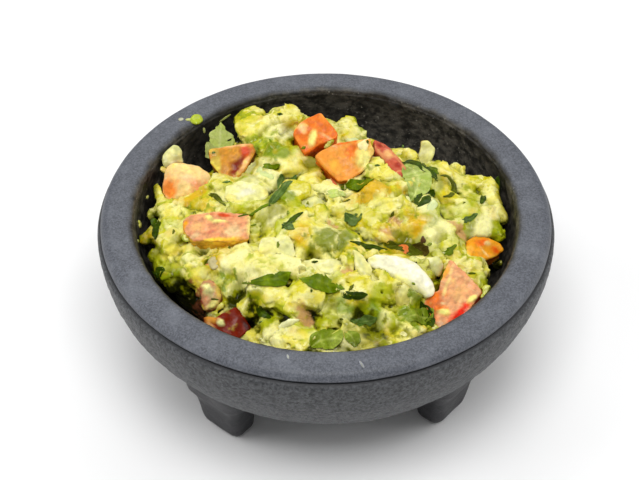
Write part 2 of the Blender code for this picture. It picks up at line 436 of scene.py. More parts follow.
class Graph:
    """Builds the node tree of one material."""

    def __init__(self, name: str) -> None:
        """Starts a material with its Principled shader.

        Args:
            name: The material's name.
        """
        self.material = bpy.data.materials.new(name)
        self.material.use_nodes = True
        self.nodes = self.material.node_tree.nodes
        self.links = self.material.node_tree.links
        self.shader = self.nodes["Principled BSDF"]
        self.place = self.nodes.new("ShaderNodeTexCoord").outputs["Object"]

    def set(self, **values: object) -> None:
        """Sets the shader's own sockets; underscores stand for spaces."""
        for name, value in values.items():
            self.shader.inputs[name.replace("_", " ")].default_value = value

    def link(self, out: Socket, name: str) -> None:
        """Joins a socket to one of the shader's inputs."""
        self.links.new(out, self.shader.inputs[name])

    def _feed(self, socket: Socket, value: object) -> None:
        """Links a socket to another one, or sets its value.

        Args:
            socket: What is fed.
            value: Another socket, or a plain value.
        """
        if isinstance(value, Socket):
            self.links.new(value, socket)
        else:
            socket.default_value = value

    def _node(self, kind: str, **inputs: object) -> bpy.types.Node:
        """Adds a node and feeds its inputs; underscores stand for spaces.

        Args:
            kind: The node's kind, without the prefix that all shader nodes have.
            **inputs: A socket or a plain value for each input that is fed.

        Returns:
            The node.
        """
        node = self.nodes.new("ShaderNode" + kind)
        for name, value in inputs.items():
            self._feed(node.inputs[name.replace("_", " ")], value)
        return node

    def attribute(self, name: str) -> Socket:
        """A colour painted on the mesh.

        Args:
            name: The attribute's name.

        Returns:
            Its colour.
        """
        node = self.nodes.new("ShaderNodeAttribute")
        node.attribute_name = name
        return node.outputs["Color"]

    def stretched(self, scale: tuple, place: Socket | None = None) -> Socket:
        """Coordinates stretched along the axes.

        Args:
            scale: Factors along the three axes.
            place: What is stretched; the object's own coordinates without it.

        Returns:
            The stretched coordinates.
        """
        node = self._node("Mapping", Vector=place or self.place, Scale=scale)
        return node.outputs["Vector"]

    def noise(
        self, size: float, detail: float = 3.0, rough: float = 0.55, place: Socket | None = None,
    ) -> Socket:
        """Noise of a size in metres, 0 to 1.

        Args:
            size: The size of the largest grains, in metres.
            detail: How many finer layers it has.
            rough: How strong those are.
            place: Its coordinates; the object's own without them.

        Returns:
            The noise.
        """
        look = {"Scale": 1.0 / size, "Detail": detail, "Roughness": rough}
        return self._node("TexNoise", Vector=place or self.place, **look).outputs["Fac"]

    def ramp(self, value: Socket, low: float, high: float) -> Socket:
        """Stretches a range of values to 0 to 1, eased and held at the ends.

        Args:
            value: What is stretched.
            low: What becomes 0.
            high: What becomes 1.

        Returns:
            The stretched value.
        """
        node = self._node("MapRange", Value=value, From_Min=low, From_Max=high)
        node.interpolation_type = "SMOOTHSTEP"
        return node.outputs["Result"]

    def math(self, operation: str, first: object, second: object) -> Socket:
        """One sum of two values.

        Args:
            operation: The node's operation.
            first: A socket or a value.
            second: Another one.

        Returns:
            The result.
        """
        node = self.nodes.new("ShaderNodeMath")
        node.operation = operation
        self._feed(node.inputs[0], first)
        self._feed(node.inputs[1], second)
        return node.outputs[0]

    def mix(self, share: object, first: object, second: object, blend: str = "MIX") -> Socket:
        """Mixes two colours.

        Args:
            share: How much of the second colour.
            first: A socket or a colour.
            second: Another one.
            blend: How they are blended.

        Returns:
            The mixed colour.
        """
        node = self.nodes.new("ShaderNodeMix")
        node.data_type = "RGBA"
        node.blend_type = blend
        self._feed(node.inputs[0], share)
        self._feed(node.inputs[6], first)
        self._feed(node.inputs[7], second)
        return node.outputs[2]

    def bump(
        self, height: Socket, depth: float, strength: float = 1.0, under: Socket | None = None,
    ) -> Socket:
        """Relief of a depth in metres, over another relief if there is one.

        Args:
            height: The relief, 0 to 1.
            depth: Its depth, in metres.
            strength: How much of it counts.
            under: The other relief's normal.

        Returns:
            The normal.
        """
        node = self._node("Bump", Strength=strength, Distance=depth, Height=height)
        if under is not None:
            self.links.new(under, node.inputs["Normal"])
        return node.outputs["Normal"]


# ---- finishes -----------------------------------------------------------------------------------
@dataclass(frozen=True)
class CastStone:
    """Moulded stone-look black: fine speckled grain over a grey body."""

    name: str
    body: tuple
    fleck: tuple
    pit: tuple
    roughness: float
    grain: float
    relief: float

    def material(self) -> bpy.types.Material:
        """Makes the material.

        Returns:
            The stone.
        """
        g = Graph(self.name)
        fine = g.noise(self.grain, 4.0, 0.7)
        coarse = g.noise(self.grain * 9.0, 4.0, 0.6)
        tone = g.mix(g.ramp(fine, 0.56, 0.74), self.body, self.fleck)
        tone = g.mix(g.ramp(fine, 0.46, 0.28), tone, self.pit)
        tone = g.mix(g.math("MULTIPLY", g.ramp(coarse, 0.35, 0.7), 0.35), tone, self.pit)
        g.link(tone, "Base Color")
        g.set(Specular_IOR_Level=0.42)
        rough = g.math("ADD", g.math("MULTIPLY", coarse, 0.2), self.roughness - 0.1)
        g.link(rough, "Roughness")
        lumps = g.bump(coarse, self.relief * 2.0)
        g.link(g.bump(fine, self.relief, under=lumps), "Normal")
        return g.material


DULLED = (0.55, 0.55, 0.4, 1.0)


@dataclass(frozen=True)
class WetFood:
    """Moist food painted by its own vertices, with fine mottling, soft relief and a wet sheen."""

    name: str
    roughness: float
    depth: float
    glow: float
    glow_reach: tuple
    mottle: float
    mottle_size: float
    relief: float
    wet: float
    gloss: float

    def material(self) -> bpy.types.Material:
        """Makes the material.

        Returns:
            The moist food.
        """
        g = Graph(self.name)
        fine = g.noise(self.mottle_size, 4.0, 0.62)
        broad = g.noise(self.mottle_size * 5.0, 2.0, 0.5)
        tint = g.attribute("tint")
        shade = g.mix(self.mottle, tint, g.mix(1.0, tint, DULLED, "MULTIPLY"))
        tone = g.mix(g.ramp(fine, 0.56, 0.36), tint, shade)
        g.link(tone, "Base Color")
        uneven = g.math("MULTIPLY", g.ramp(broad, 0.3, 0.7), 0.22)
        rough = g.math("ADD", uneven, self.roughness - 0.1)
        g.link(rough, "Roughness")
        g.link(g.math("MULTIPLY", g.ramp(broad, 0.48, 0.60), self.wet), "Coat Weight")
        g.set(
            Subsurface_Weight=self.glow, Subsurface_Radius=self.glow_reach,
            Subsurface_Scale=self.depth, Coat_Roughness=0.11, Specular_IOR_Level=self.gloss,
        )
        g.link(g.bump(fine, self.relief), "Normal")
        return g.material


class Shade(Enum):
    """Named colours."""

    @property
    def rgb(self) -> Array:
        """The colour without its opacity."""
        return np.array(self.value[:3])


class Tone(Shade):
    """The colours that the avocado has, from pale flesh to the green next to its skin.

    OLIVE and DEEP also serve as painted shade in the mash's creases and pits, and the
    near-black tone after DEEP is only a painted shadow for its deepest gaps.
    """

    CREAM = srgb(243, 238, 162)
    BUTTER = srgb(232, 219, 84)
    LEMON = srgb(213, 202, 34)
    LIME = srgb(180, 186, 22)
    OLIVE = srgb(134, 134, 8)
    GREEN = srgb(122, 144, 6)
    DEEP = srgb(70, 74, 1)
    # Painted shadow: near black, for the deepest gaps in the mash.
    PAINTED_SHADOW = srgb(26, 28, 2)
    AMBER = srgb(220, 176, 28)
    MOSS = srgb(124, 134, 22)
    BLUSH = srgb(212, 164, 104)
    MAUVE = srgb(158, 92, 58)


@dataclass(frozen=True)
class Patch:
    """An oval patch of colour: place, half sizes and rise in mm, heading in degrees."""

    x: float
    y: float
    long: float
    wide: float
    heading: float
    tone: Shade
    rise: float = 0.0

    def out(self, points: Array) -> Array:
        """How far out each point lies, from 0 in the middle to 1 at the oval's edge.

        Args:
            points: Places on plan, in mm.

        Returns:
            One value for each point.
        """
        turn = math.radians(self.heading)
        away = points - (self.x, self.y)
        along = (away @ (math.cos(turn), math.sin(turn))) / self.long
        across = (away @ (-math.sin(turn), math.cos(turn))) / self.wide
        return np.hypot(along, across)


STONE_FEET = CastStone(
    "Cast stone feet", body=srgb(44, 44, 47), fleck=srgb(64, 64, 68), pit=srgb(22, 22, 24),
    roughness=0.45, grain=0.7 * MM, relief=0.12 * MM,
)
TOMATO_FLESH = WetFood(
    "Tomato flesh", roughness=0.30, depth=1.2 * MM, glow=0.12, glow_reach=(1.0, 0.35, 0.12),
    mottle=0.25, mottle_size=0.9 * MM, relief=0.12 * MM, wet=0.25, gloss=0.10,
)
WHITE_ONION = WetFood(
    "White onion", roughness=0.28, depth=2.0 * MM, glow=0.25, glow_reach=(1.0, 0.95, 0.6),
    mottle=0.18, mottle_size=1.2 * MM, relief=0.08 * MM, wet=0.30, gloss=0.20,
)
AVOCADO_MASH = WetFood(
    "Avocado mash", roughness=0.30, depth=1.2 * MM, glow=0.20, glow_reach=(1.0, 0.85, 0.1),
    mottle=0.22, mottle_size=0.8 * MM, relief=0.08 * MM, wet=0.55, gloss=0.12,
)
CORIANDER_LEAF = WetFood(
    "Coriander leaf", roughness=0.34, depth=0.6 * MM, glow=0.10, glow_reach=(0.5, 1.0, 0.1),
    mottle=0.4, mottle_size=0.7 * MM, relief=0.06 * MM, wet=0.20, gloss=0.08,
)


# ---- bowl ---------------------------------------------------------------------------------------
@dataclass
class Bowl:
    """The turned bowl: belly, groove, rounded rim and the hollow inside."""

    radius: float = 65.0 * MM
    rim_height: float = 53.0 * MM
    rim_inner: float = 55.6 * MM
    rim_outer: float = 64.0 * MM
    rim_round: float = 2.6 * MM
    groove_depth: float = 0.9 * MM
    groove_width: float = 0.8 * MM
    bulge: float = 48.3 * MM
    bottom: float = 14.5 * MM
    flat: float = 35.0 * MM
    power: float = 1.87
    floor: float = 19.5 * MM
    mouth: float = 54.2 * MM
    cavity_power: float = 2.35
    inner_edge: float = 1.6 * MM
    inner_step: float = 0.4 * MM
    steps: int = 400

    def cavity_radius(self, height: float) -> float:
        """Radius of the inner wall at a height."""
        share = max(0.0, min(1.0, (height - self.floor) / (self.rim_height - self.floor)))
        return self.mouth * (1.0 - (1.0 - share) ** self.cavity_power) ** (1.0 / self.cavity_power)

    def section(self) -> list[tuple[float, float]]:
        """The section as (radius, height), from under the belly over the rim to the hollow's floor.

        Returns:
            The section's points, in metres.
        """
        belly, rise, groove, rim, top, edge, wall = 66, 3, 8, 12, 8, 6, 64
        line = [(0.0, self.bottom), (0.5 * self.flat, self.bottom)]
        for k in range(belly, -1, -1):
            a = 0.5 * math.pi * k / belly
            out = math.cos(a) ** (2.0 / self.power)
            down = math.sin(a) ** (2.0 / self.power)
            line.append((
                self.flat + (self.radius - self.flat) * out,
                self.bulge - (self.bulge - self.bottom) * down,
            ))
        lip = self.rim_height - self.rim_round
        top_of_belly = lip - self.groove_width
        for k in range(1, rise + 1):
            share = k / rise
            line.append((
                self.radius - (self.radius - self.rim_outer) * share**2,
                self.bulge + (top_of_belly - self.bulge) * share,
            ))
        for k in range(1, groove):
            share = k / groove
            line.append((
                self.rim_outer - self.groove_depth * math.sin(math.pi * share),
                top_of_belly + self.groove_width * share,
            ))
        for k in range(rim + 1):
            a = 0.5 * math.pi * k / rim
            line.append((
                self.rim_outer - self.rim_round * (1.0 - math.cos(a)),
                lip + self.rim_round * math.sin(a),
            ))
        flat_top = self.rim_outer - self.rim_round
        inner_lip = self.rim_inner + self.inner_step
        for k in range(1, top):
            line.append((flat_top + (inner_lip - flat_top) * k / top, self.rim_height))
        for k in range(1, edge + 1):
            a = 0.5 * math.pi * k / edge
            line.append((
                inner_lip - self.inner_edge * math.sin(a),
                self.rim_height - self.inner_edge * (1.0 - math.cos(a)),
            ))
        start = (self.rim_height - self.inner_edge - self.floor) / (self.rim_height - self.floor)
        for k in range(1, wall):
            a = k / wall
            share = start * (1.0 - a**1.25)
            height = self.floor + share * (self.rim_height - self.floor)
            line.append((min(self.cavity_radius(height), line[-1][0]), height))
        line.append((0.0, self.floor))
        return line

    def build(self) -> Piece:
        """Spins the section into the bowl and roughens its belly and its inside.

        Returns:
            The casting.
        """
        line = self.section()
        bowl = primitive("circle", "bowl_casting", vertices=len(line), radius=self.radius)
        move_points(bowl, np.array([(r, 0.0, z) for r, z in line]))
        last = len(line) - 1
        for edge in bowl.data.edges:
            edge.select = set(edge.vertices) == {0, last}
        for vertex in bowl.data.vertices:
            vertex.select = vertex.index in (0, last)
        with editing(bowl, "EDGE", whole=False):
            bpy.ops.mesh.delete(type="EDGE")
            bpy.ops.mesh.select_all(action="SELECT")
            bpy.ops.mesh.spin(
                steps=self.steps, angle=2.0 * math.pi, center=(0.0, 0.0, 0.0), axis=(0.0, 0.0, 1.0),
            )
            bpy.ops.mesh.select_all(action="SELECT")
            bpy.ops.mesh.remove_doubles(threshold=0.02 * MM)
            bpy.ops.mesh.normals_make_consistent(inside=False)
        self._roughen(bowl)
        shade_smooth(bowl)
        return bowl

    def _roughen(self, bowl: Piece) -> None:
        """Gives the belly and the inner wall the casting's coarse grain; the rim stays smoother.

        Args:
            bowl: The casting.
        """
        points = points_of(bowl)
        normals = normals_of(bowl)
        out = np.hypot(points[:, 0], points[:, 1])
        lip = self.rim_height - self.rim_round
        outward = normals[:, 0] * points[:, 0] + normals[:, 1] * points[:, 1]
        below_rim = (points[:, 2] < lip - 2.2 * MM) & (normals[:, 2] < 0.4)
        outside = (out > 0.6 * self.flat) & below_rim & (outward > 0)
        inside = (outward < 0) & (points[:, 2] < self.rim_height - 0.6 * MM)
        grain = Grain(11)
        rough = grain.swells(points, 1.6 * MM, 2) * 0.16 * MM
        rough = rough + grain.at(points, 7.0 * MM) * 0.12 * MM
        wall = grain.swells(points + 0.3, 2.4 * MM, 3) * 0.2 * MM
        skin = grain.at(points + 0.7, 5.0 * MM) * 0.05 * MM
        move = np.where(outside, rough, np.where(inside, wall, skin))
        move_points(bowl, points + normals * move[:, None])


@dataclass
class BowlColours:
    """Paints the casting's zones: pale rim, speckled belly and a dark inside.

    The inside's dark brown-black is painted shade of the deep hollow, with streaks and specks over it.
    """

    bowl: Bowl

    def material(self) -> bpy.types.Material:
        """One material whose zones follow the painted shares of rim, belly and inside.

        Returns:
            The stone in its zones.
        """
        g = Graph("Cast stone bowl")
        zone = g.nodes.new("ShaderNodeSeparateColor")
        g.links.new(g.attribute("zones"), zone.inputs[0])
        rim, belly, inside = (zone.outputs[k] for k in ("Red", "Green", "Blue"))
        fine = g.noise(0.55 * MM, 4.0, 0.75)
        speck = g.noise(0.9 * MM, 3.0, 0.6)
        coarse = g.noise(6.0 * MM, 4.0, 0.6)
        broad = g.noise(22.0 * MM, 3.0, 0.5)
        rim_tone = g.mix(g.ramp(fine, 0.35, 0.7), srgb(64, 67, 74), srgb(104, 107, 115))
        rim_tone = g.mix(g.ramp(speck, 0.72, 0.84), rim_tone, srgb(150, 154, 160))
        cloud = g.math("MULTIPLY", g.ramp(coarse, 0.45, 0.75), 0.35)
        rim_tone = g.mix(cloud, rim_tone, srgb(120, 124, 132))
        belly_tone = g.mix(g.ramp(speck, 0.30, 0.72), srgb(36, 37, 39), srgb(86, 88, 91))
        belly_tone = g.mix(g.ramp(fine, 0.66, 0.80), belly_tone, srgb(150, 152, 156))
        belly_tone = g.mix(g.ramp(fine, 0.38, 0.26), belly_tone, srgb(26, 26, 29))
        turned = g.noise(2.2 * MM, 4.0, 0.7, g.stretched((0.8, 0.8, 1.3)))
        # Inside: streaks, specks and broad blotches over a dark brown-black that is painted shade of
        # the deep hollow.
        stain_and_painted_shade = g.mix(g.ramp(turned, 0.36, 0.68), srgb(20, 19, 15), srgb(78, 74, 66))
        stain_and_painted_shade = g.mix(g.ramp(speck, 0.62, 0.78), stain_and_painted_shade, srgb(140, 136, 126))
        stain_and_painted_shade = g.mix(g.math("MULTIPLY", g.ramp(broad, 0.45, 0.65), 0.7), stain_and_painted_shade, srgb(20, 18, 14))
        tone = g.mix(rim, srgb(40, 41, 44), rim_tone)
        tone = g.mix(belly, tone, belly_tone)
        tone = g.mix(inside, tone, stain_and_painted_shade)
        g.link(tone, "Base Color")
        rough = g.math("ADD", g.math("MULTIPLY", g.ramp(fine, 0.3, 0.7), 0.18), 0.42)
        g.link(rough, "Roughness")
        g.set(Specular_IOR_Level=0.4)
        deep = g.math("MULTIPLY", g.math("ADD", speck, g.math("MULTIPLY", fine, 0.8)),
                      g.math("ADD", 0.25, g.math("MULTIPLY", belly, 0.75)))
        g.link(g.bump(deep, 0.35 * MM, 0.8), "Normal")
        return g.material

    def paint(self, piece: Piece) -> None:
        """Writes the zones' shares on the vertices.

        Args:
            piece: The casting.
        """
        points = points_of(piece)
        normals = normals_of(piece)
        b = self.bowl
        out = np.hypot(points[:, 0], points[:, 1])
        outward = (normals[:, 0] * points[:, 0] + normals[:, 1] * points[:, 1]) / np.maximum(out, 1e-6)
        wander = Grain(5).swells(points, 5.0 * MM, 3) * 0.7 * MM
        lip = b.rim_height - b.rim_round
        above = held((points[:, 2] - (lip - 0.1 * MM)) / (0.3 * MM))
        inner = held((b.rim_inner + 0.5 * MM - out + wander) / (1.6 * MM))
        inner *= (outward < 0.35)
        belly = held((lip - 0.9 * MM - points[:, 2]) / (0.4 * MM)) * (outward > -0.2)
        belly[(points[:, 2] < b.bottom + 1.0 * MM)] = 1.0
        inner[(points[:, 2] < b.bottom + 1.0 * MM)] = 0.0
        paint(piece, "zones", np.stack([above, belly, inner], 1))


@dataclass
class Feet:
    """Four short feet on the diagonals, wider than deep, leaning in towards the table.

    Sizes are in metres but for the root's swell, which is in mm.
    """

    count: int = 4
    turn: float = math.radians(45.0)
    reach: float = 47.7 * MM
    depth: float = 8.5 * MM
    width: float = 14.0 * MM
    flare: float = 2.7 * MM
    top: float = 27.0 * MM
    belly_bottom: float = 14.5 * MM
    corner: float = 2.8 * MM
    sole: float = 1.4 * MM
    voxel: float = 0.55 * MM
    root_start: float = 10.5 * MM
    root_height: float = 6.0 * MM
    root_swell: float = 1.5

    def block(self) -> Piece:
        """One foot at azimuth zero: a block, leant, bevelled and made fine.

        Returns:
            The foot, as a pattern for all.
        """
        foot = primitive("cube", "foot", size=1.0)
        lean = self.flare * self.top / self.belly_bottom
        points = points_of(foot)
        up = points[:, 2] > 0
        half = 0.5 * self.width + np.where(up, 0.5 * lean, 0.0)
        front = self.reach + np.where(up, lean, 0.0)
        out = np.where(points[:, 0] > 0, front, self.reach - self.depth)
        across = np.sign(points[:, 1]) * half
        move_points(foot, np.stack([out, across, np.where(up, self.top, 0.0)], 1))
        for edge in foot.data.edges:
            a, b = (foot.data.vertices[i].co for i in edge.vertices)
            edge.select = abs(a.z - b.z) > 0.5 * self.top
        for vertex in foot.data.vertices:
            vertex.select = False
        with editing(foot, "EDGE", whole=False):
            bpy.ops.mesh.bevel(offset=self.corner, segments=6, affect="EDGES")
        for part in (foot.data.vertices, foot.data.edges, foot.data.polygons):
            for item in part:
                item.select = False
        for edge in foot.data.edges:
            a, b = (foot.data.vertices[i].co for i in edge.vertices)
            edge.select = max(a.z, b.z) < 0.1 * MM
        with editing(foot, "EDGE", whole=False):
            bpy.ops.mesh.bevel(offset=self.sole, segments=4, affect="EDGES")
        return foot

    def build(self) -> list[Piece]:
        """The four feet, each with its own fine unevenness and a soft root under the belly.

        Returns:
            The feet.
        """
        pattern = self.block()
        apply_modifier(pattern, "REMESH", mode="VOXEL", voxel_size=self.voxel)
        apply_modifier(pattern, "SMOOTH", factor=0.5, iterations=3)
        grain = Grain(23)
        made = []
        for k in range(self.count):
            place = Matrix.Rotation(self.turn + k * 2.0 * math.pi / self.count, 4, "Z")
            foot = copy_piece(pattern, f"foot_{k + 1}_casting", place)
            points = points_of(foot)
            normals = normals_of(foot)
            share = held((points[:, 2] - self.root_start) / self.root_height)
            root = share**2 * self.root_swell * MM
            move = grain.at(points, 5.0 * MM) * 0.12 * MM
            move = move + grain.at(points + 0.2, 1.7 * MM) * 0.05 * MM
            moved = points + normals * (move + root)[:, None]
            low = points[:, 2] < 0.3 * MM
            moved[low, 2] = points[low, 2]
            move_points(foot, moved)
            shade_smooth(foot)
            made.append(foot)
        bpy.data.objects.remove(pattern)
        return made


# ---- mash ---------------------------------------------------------------------------------------
class LumpForm(Enum):
    """The shapes that mashed avocado breaks into, as factors along their three axes."""

    CRUMB = (1.0, 0.85, 0.8)
    BLOB = (1.15, 1.0, 0.72)
    RIDGE = (1.9, 0.72, 0.7)
    SHARD = (1.35, 0.95, 0.42)


# How often a lump strewn over the heap has each form, tone and size in mm.
WILD_FORMS = {LumpForm.CRUMB: 2, LumpForm.BLOB: 2, LumpForm.RIDGE: 5, LumpForm.SHARD: 6}
WILD_TONES = {
    Tone.CREAM: 5, Tone.BUTTER: 7, Tone.LEMON: 6, Tone.LIME: 5,
    Tone.OLIVE: 3, Tone.GREEN: 2, Tone.DEEP: 1, Tone.AMBER: 1,
}
WILD_SIZES = (2.0, 2.6, 3.2, 3.8, 4.6, 5.6)
# The lumps pressed against a cut piece's edges.
PRESSED_FORMS = (LumpForm.BLOB, LumpForm.RIDGE, LumpForm.SHARD)
PRESSED_TONES = (Tone.CREAM, Tone.BUTTER, Tone.LEMON, Tone.LIME)
PRESSED_SIZES = (1.7, 2.3, 3.0)
UPRIGHT = Vector((0.0, 0.0, 0.6))
DOWN = Vector((0.0, 0.0, -1.0))


@dataclass(frozen=True)
class Dollop:
    """One lump of mash placed on purpose: plan place, sizes and rise in mm, heading in degrees."""

    x: float
    y: float
    long: float
    wide: float
    thick: float
    heading: float
    tone: Tone
    rise: float = 0.0


@dataclass(frozen=True)
class Hollow:
    """A pit in the mash: plan place, reach and depth in mm."""

    x: float
    y: float
    reach: float
    depth: float


DOLLOPS: tuple[Dollop, ...] = tuple(Dollop(*row) for row in (
    (-13, 47, 10, 9, 5, -5, Tone.CREAM, 1.2), (-19, 42, 9, 7, 4, 27, Tone.LEMON, 0.6),
    (-8, 39, 7, 7, 4, -72, Tone.LEMON, 0.8), (-18, 36, 10, 7, 4, -5, Tone.BUTTER, 0.8),
    (-24, 40, 7, 4, 3, 21, Tone.BUTTER, 0.6), (-12, 34, 5, 6, 4, -5, Tone.CREAM, 0.6),
    (-15, 29, 6, 6, 5, 78, Tone.LIME, 0.8), (-12, 23, 7, 6, 4, 78, Tone.GREEN, 0.4),
    (-16, 19, 7, 4, 3, -5, Tone.DEEP, -0.2), (-7, 24, 4, 4, 3, 33, Tone.LIME, 0.4),
    (-16, 15, 7, 4, 3, -5, Tone.CREAM, 0.2), (-29, 14, 6, 6, 4, 78, Tone.LEMON, 0.4),
    (-23, 10, 12, 10, 4, -5, Tone.CREAM, 0.8), (-16, 10, 7, 5, 3, -31, Tone.CREAM, 0.6),
    (-9, 18, 9, 3, 3, -58, Tone.BUTTER, 1), (-8, 6, 7, 5, 4, 48, Tone.LEMON, 0.6),
    (-11, 3, 6, 3, 3, 53, Tone.GREEN, 0.6), (-15, -2, 5, 5, 3, 8, Tone.OLIVE, 0.2),
    (-21, 3, 6, 3, 2.5, 6, Tone.LIME, 0.6), (-3, 14, 6, 5, 3, -5, Tone.BUTTER, 0.5),
    (-2, -1, 10, 3, 3, -5, Tone.LEMON, 0.8), (-6, -8, 6, 5, 3, -5, Tone.BUTTER, 0.6),
    (-12, -7, 5, 5, 3, -5, Tone.LIME, 0.2), (-43, 7, 8, 4, 3, 8, Tone.BUTTER, 0.4),
    (-38, 11, 8, 3, 2.5, 2, Tone.AMBER, 0.4), (-44, 1, 6, 5, 3, -5, Tone.LIME, 0.6),
    (-3, 20, 6, 6, 3, -5, Tone.OLIVE, -0.6), (-6, 22, 4, 3, 2.5, 21, Tone.LEMON, 0.4),
    (10, 39, 8, 5, 4, -37, Tone.LEMON, 0.8), (13, 37, 4, 4, 3, -43, Tone.CREAM, 0.6),
    (17, 35, 3, 4, 3, -5, Tone.LEMON, 0.8), (18, 14, 9, 7, 4, -31, Tone.BUTTER, 0.8),
    (13, 20, 4, 5, 3, 74, Tone.CREAM, 0.4), (14, 4, 8, 6, 4, 15, Tone.AMBER, 0.9),
    (21, 5, 6, 3, 3, -5, Tone.LEMON, 0.5), (27, 24, 4, 3, 3, -31, Tone.BUTTER, 1.4),
    (36, 16, 6, 5, 3, -18, Tone.BUTTER, 1), (40, 18, 6, 4, 3, -43, Tone.BUTTER, 1),
    (44, 13, 9, 4, 4, -76, Tone.LEMON, 1), (34, 9, 6, 5, 4, -5, Tone.OLIVE, 0.6),
    (36, 4, 9, 3, 3, -18, Tone.LEMON, 0.5), (48, 11, 4, 6, 4, 78, Tone.LEMON, 2.2),
    (49, 6, 5, 6, 4, 78, Tone.BUTTER, 0.8), (41, -1, 6, 5, 3, 15, Tone.LIME, 0.6),
    (47, -1, 5, 5, 3, 21, Tone.CREAM, 0.8), (52, 1, 5, 4, 3, 21, Tone.BUTTER, 1.2),
    (29, -3, 9, 5, 3, -5, Tone.CREAM, 0.6), (19, -4, 9, 5, 4, -5, Tone.BUTTER, 0.8),
    (13, -3, 5, 5, 3, -5, Tone.LEMON, 0.4), (3, 6, 11, 5, 3, -5, Tone.CREAM, 0.8),
    (3, 1, 5, 4, 3, -5, Tone.LEMON, 0.6), (25, -9, 6, 3, 3, -43, Tone.AMBER, 0.8),
    (13, -8, 7, 3, 2.5, -5, Tone.LEMON, 0.4), (32, -9, 7, 5, 3, -5, Tone.CREAM, 0.5),
    (44, -6, 6, 5, 3, -5, Tone.CREAM, 0.6), (38, -6, 3, 3, 2.5, -5, Tone.LIME, 0.6),
    (49, -6, 4, 5, 3, -5, Tone.LIME, 0.4), (-45, -4, 7, 5, 4, -5, Tone.LEMON, 0.6),
    (-48, -6, 3, 5, 3, -5, Tone.OLIVE, 0.2), (-43, -9, 6, 5, 3, -5, Tone.BUTTER, 0.4),
    (-38, -12, 5, 5, 4, -5, Tone.CREAM, 0.8), (-38, -16, 6, 6, 4, 78, Tone.BUTTER, 0.6),
    (-48, -12, 6, 5, 3, -18, Tone.LIME, 0.6), (-43, -14, 3, 6, 3, 78, Tone.OLIVE, 0.2),
    (-46, -17, 4, 3, 3, -5, Tone.OLIVE, 0), (-32, -15, 3, 4, 3, -5, Tone.AMBER, 0.4),
    (-25, -15, 10, 6, 4, -5, Tone.CREAM, 0.8), (-29, -16, 7, 5, 3, -5, Tone.CREAM, 0.6),
    (-22, -23, 17, 6, 4, -1, Tone.CREAM, 0.7), (-11, -23, 14, 5, 4, 3, Tone.CREAM, 0.8),
    (-1, -22, 14, 5, 4, 0, Tone.CREAM, 0.9), (-34, -19, 6, 5, 3, 78, Tone.CREAM, 0.2),
    (-28, -22, 6, 5, 3, 8, Tone.LIME, 0.2), (-12, -12, 9, 8, 4, 43, Tone.CREAM, 0.7),
    (-19, -15, 4, 5, 3, -5, Tone.LEMON, 0.2), (-8, -10, 6, 6, 3, 78, Tone.AMBER, 0.4),
    (-2, -13, 8, 8, 3.5, -5, Tone.MOSS, 0.6), (-22, -29, 8, 5, 4, 38, Tone.LEMON, 1),
    (-15, -30, 12, 5, 4, 6, Tone.BUTTER, 1.2), (-10, -30, 4, 5, 4, -5, Tone.LEMON, 1.2),
    (-7, -32, 6, 6, 5, 78, Tone.BUTTER, 1.4), (-19, -34, 9, 4, 3, -5, Tone.LIME, 0.2),
    (-23, -36, 7, 3, 3, -12, Tone.BUTTER, 0.8), (-17, -40, 9, 7, 4, -12, Tone.CREAM, 0.8),
    (-11, -42, 7, 8, 4, -5, Tone.BUTTER, 1), (-10, -40, 4, 4, 3, -5, Tone.LIME, 0.8),
    (-1, -34, 6, 7, 3, -5, Tone.OLIVE, 0.2), (-3, -37, 5, 5, 3, -5, Tone.LIME, 0.2),
    (5, -21, 7, 4, 3, 62, Tone.LEMON, 0.8), (12, -29, 6, 3, 2.5, -5, Tone.LEMON, 0.2),
    (7, -33, 7, 5, 4, 62, Tone.LEMON, 0.6), (12, -33, 9, 5, 4, -25, Tone.LIME, 0.8),
    (15, -31, 4, 6, 3, 78, Tone.LEMON, 0.8), (2, -35, 6, 8, 4, -5, Tone.GREEN, 0.6),
    (4, -34, 4, 4, 3, 33, Tone.LEMON, 0.8), (9, -38, 8, 4, 3, -18, Tone.GREEN, 0.4),
    (15, -41, 7, 4, 3, -31, Tone.LIME, 0.8), (19, -38, 4, 5, 3, -5, Tone.GREEN, 0.6),
    (22, -32, 3, 4, 2.5, -5, Tone.GREEN, 0.2), (8, -45, 13, 8, 5, -5, Tone.DEEP, 0.4),
    (19, -44, 8, 3, 3, 8, Tone.BUTTER, 0.8), (40, -18, 8, 5, 4, -18, Tone.LEMON, 0.6),
    (44, -20, 4, 5, 3, -5, Tone.BUTTER, 0.4), (43, -27, 6, 4, 3, 21, Tone.LIME, 0.4),
    (34, -14, 8, 4, 3, 8, Tone.LIME, 0.6), (28, -11, 6, 4, 3, -5, Tone.CREAM, 0.4),
    (5, -15, 5, 4, 3, -31, Tone.LEMON, 0.4), (17, -11, 5, 5, 3, -5, Tone.AMBER, 0.2),
    (36, -18, 6, 4, 3, -5, Tone.LEMON, 0.2), (4, -13.5, 7, 7, 3.5, -5, Tone.MOSS, 0.7),
    (-31, -26, 11, 2, 2.5, 24, Tone.BUTTER, 2),
))

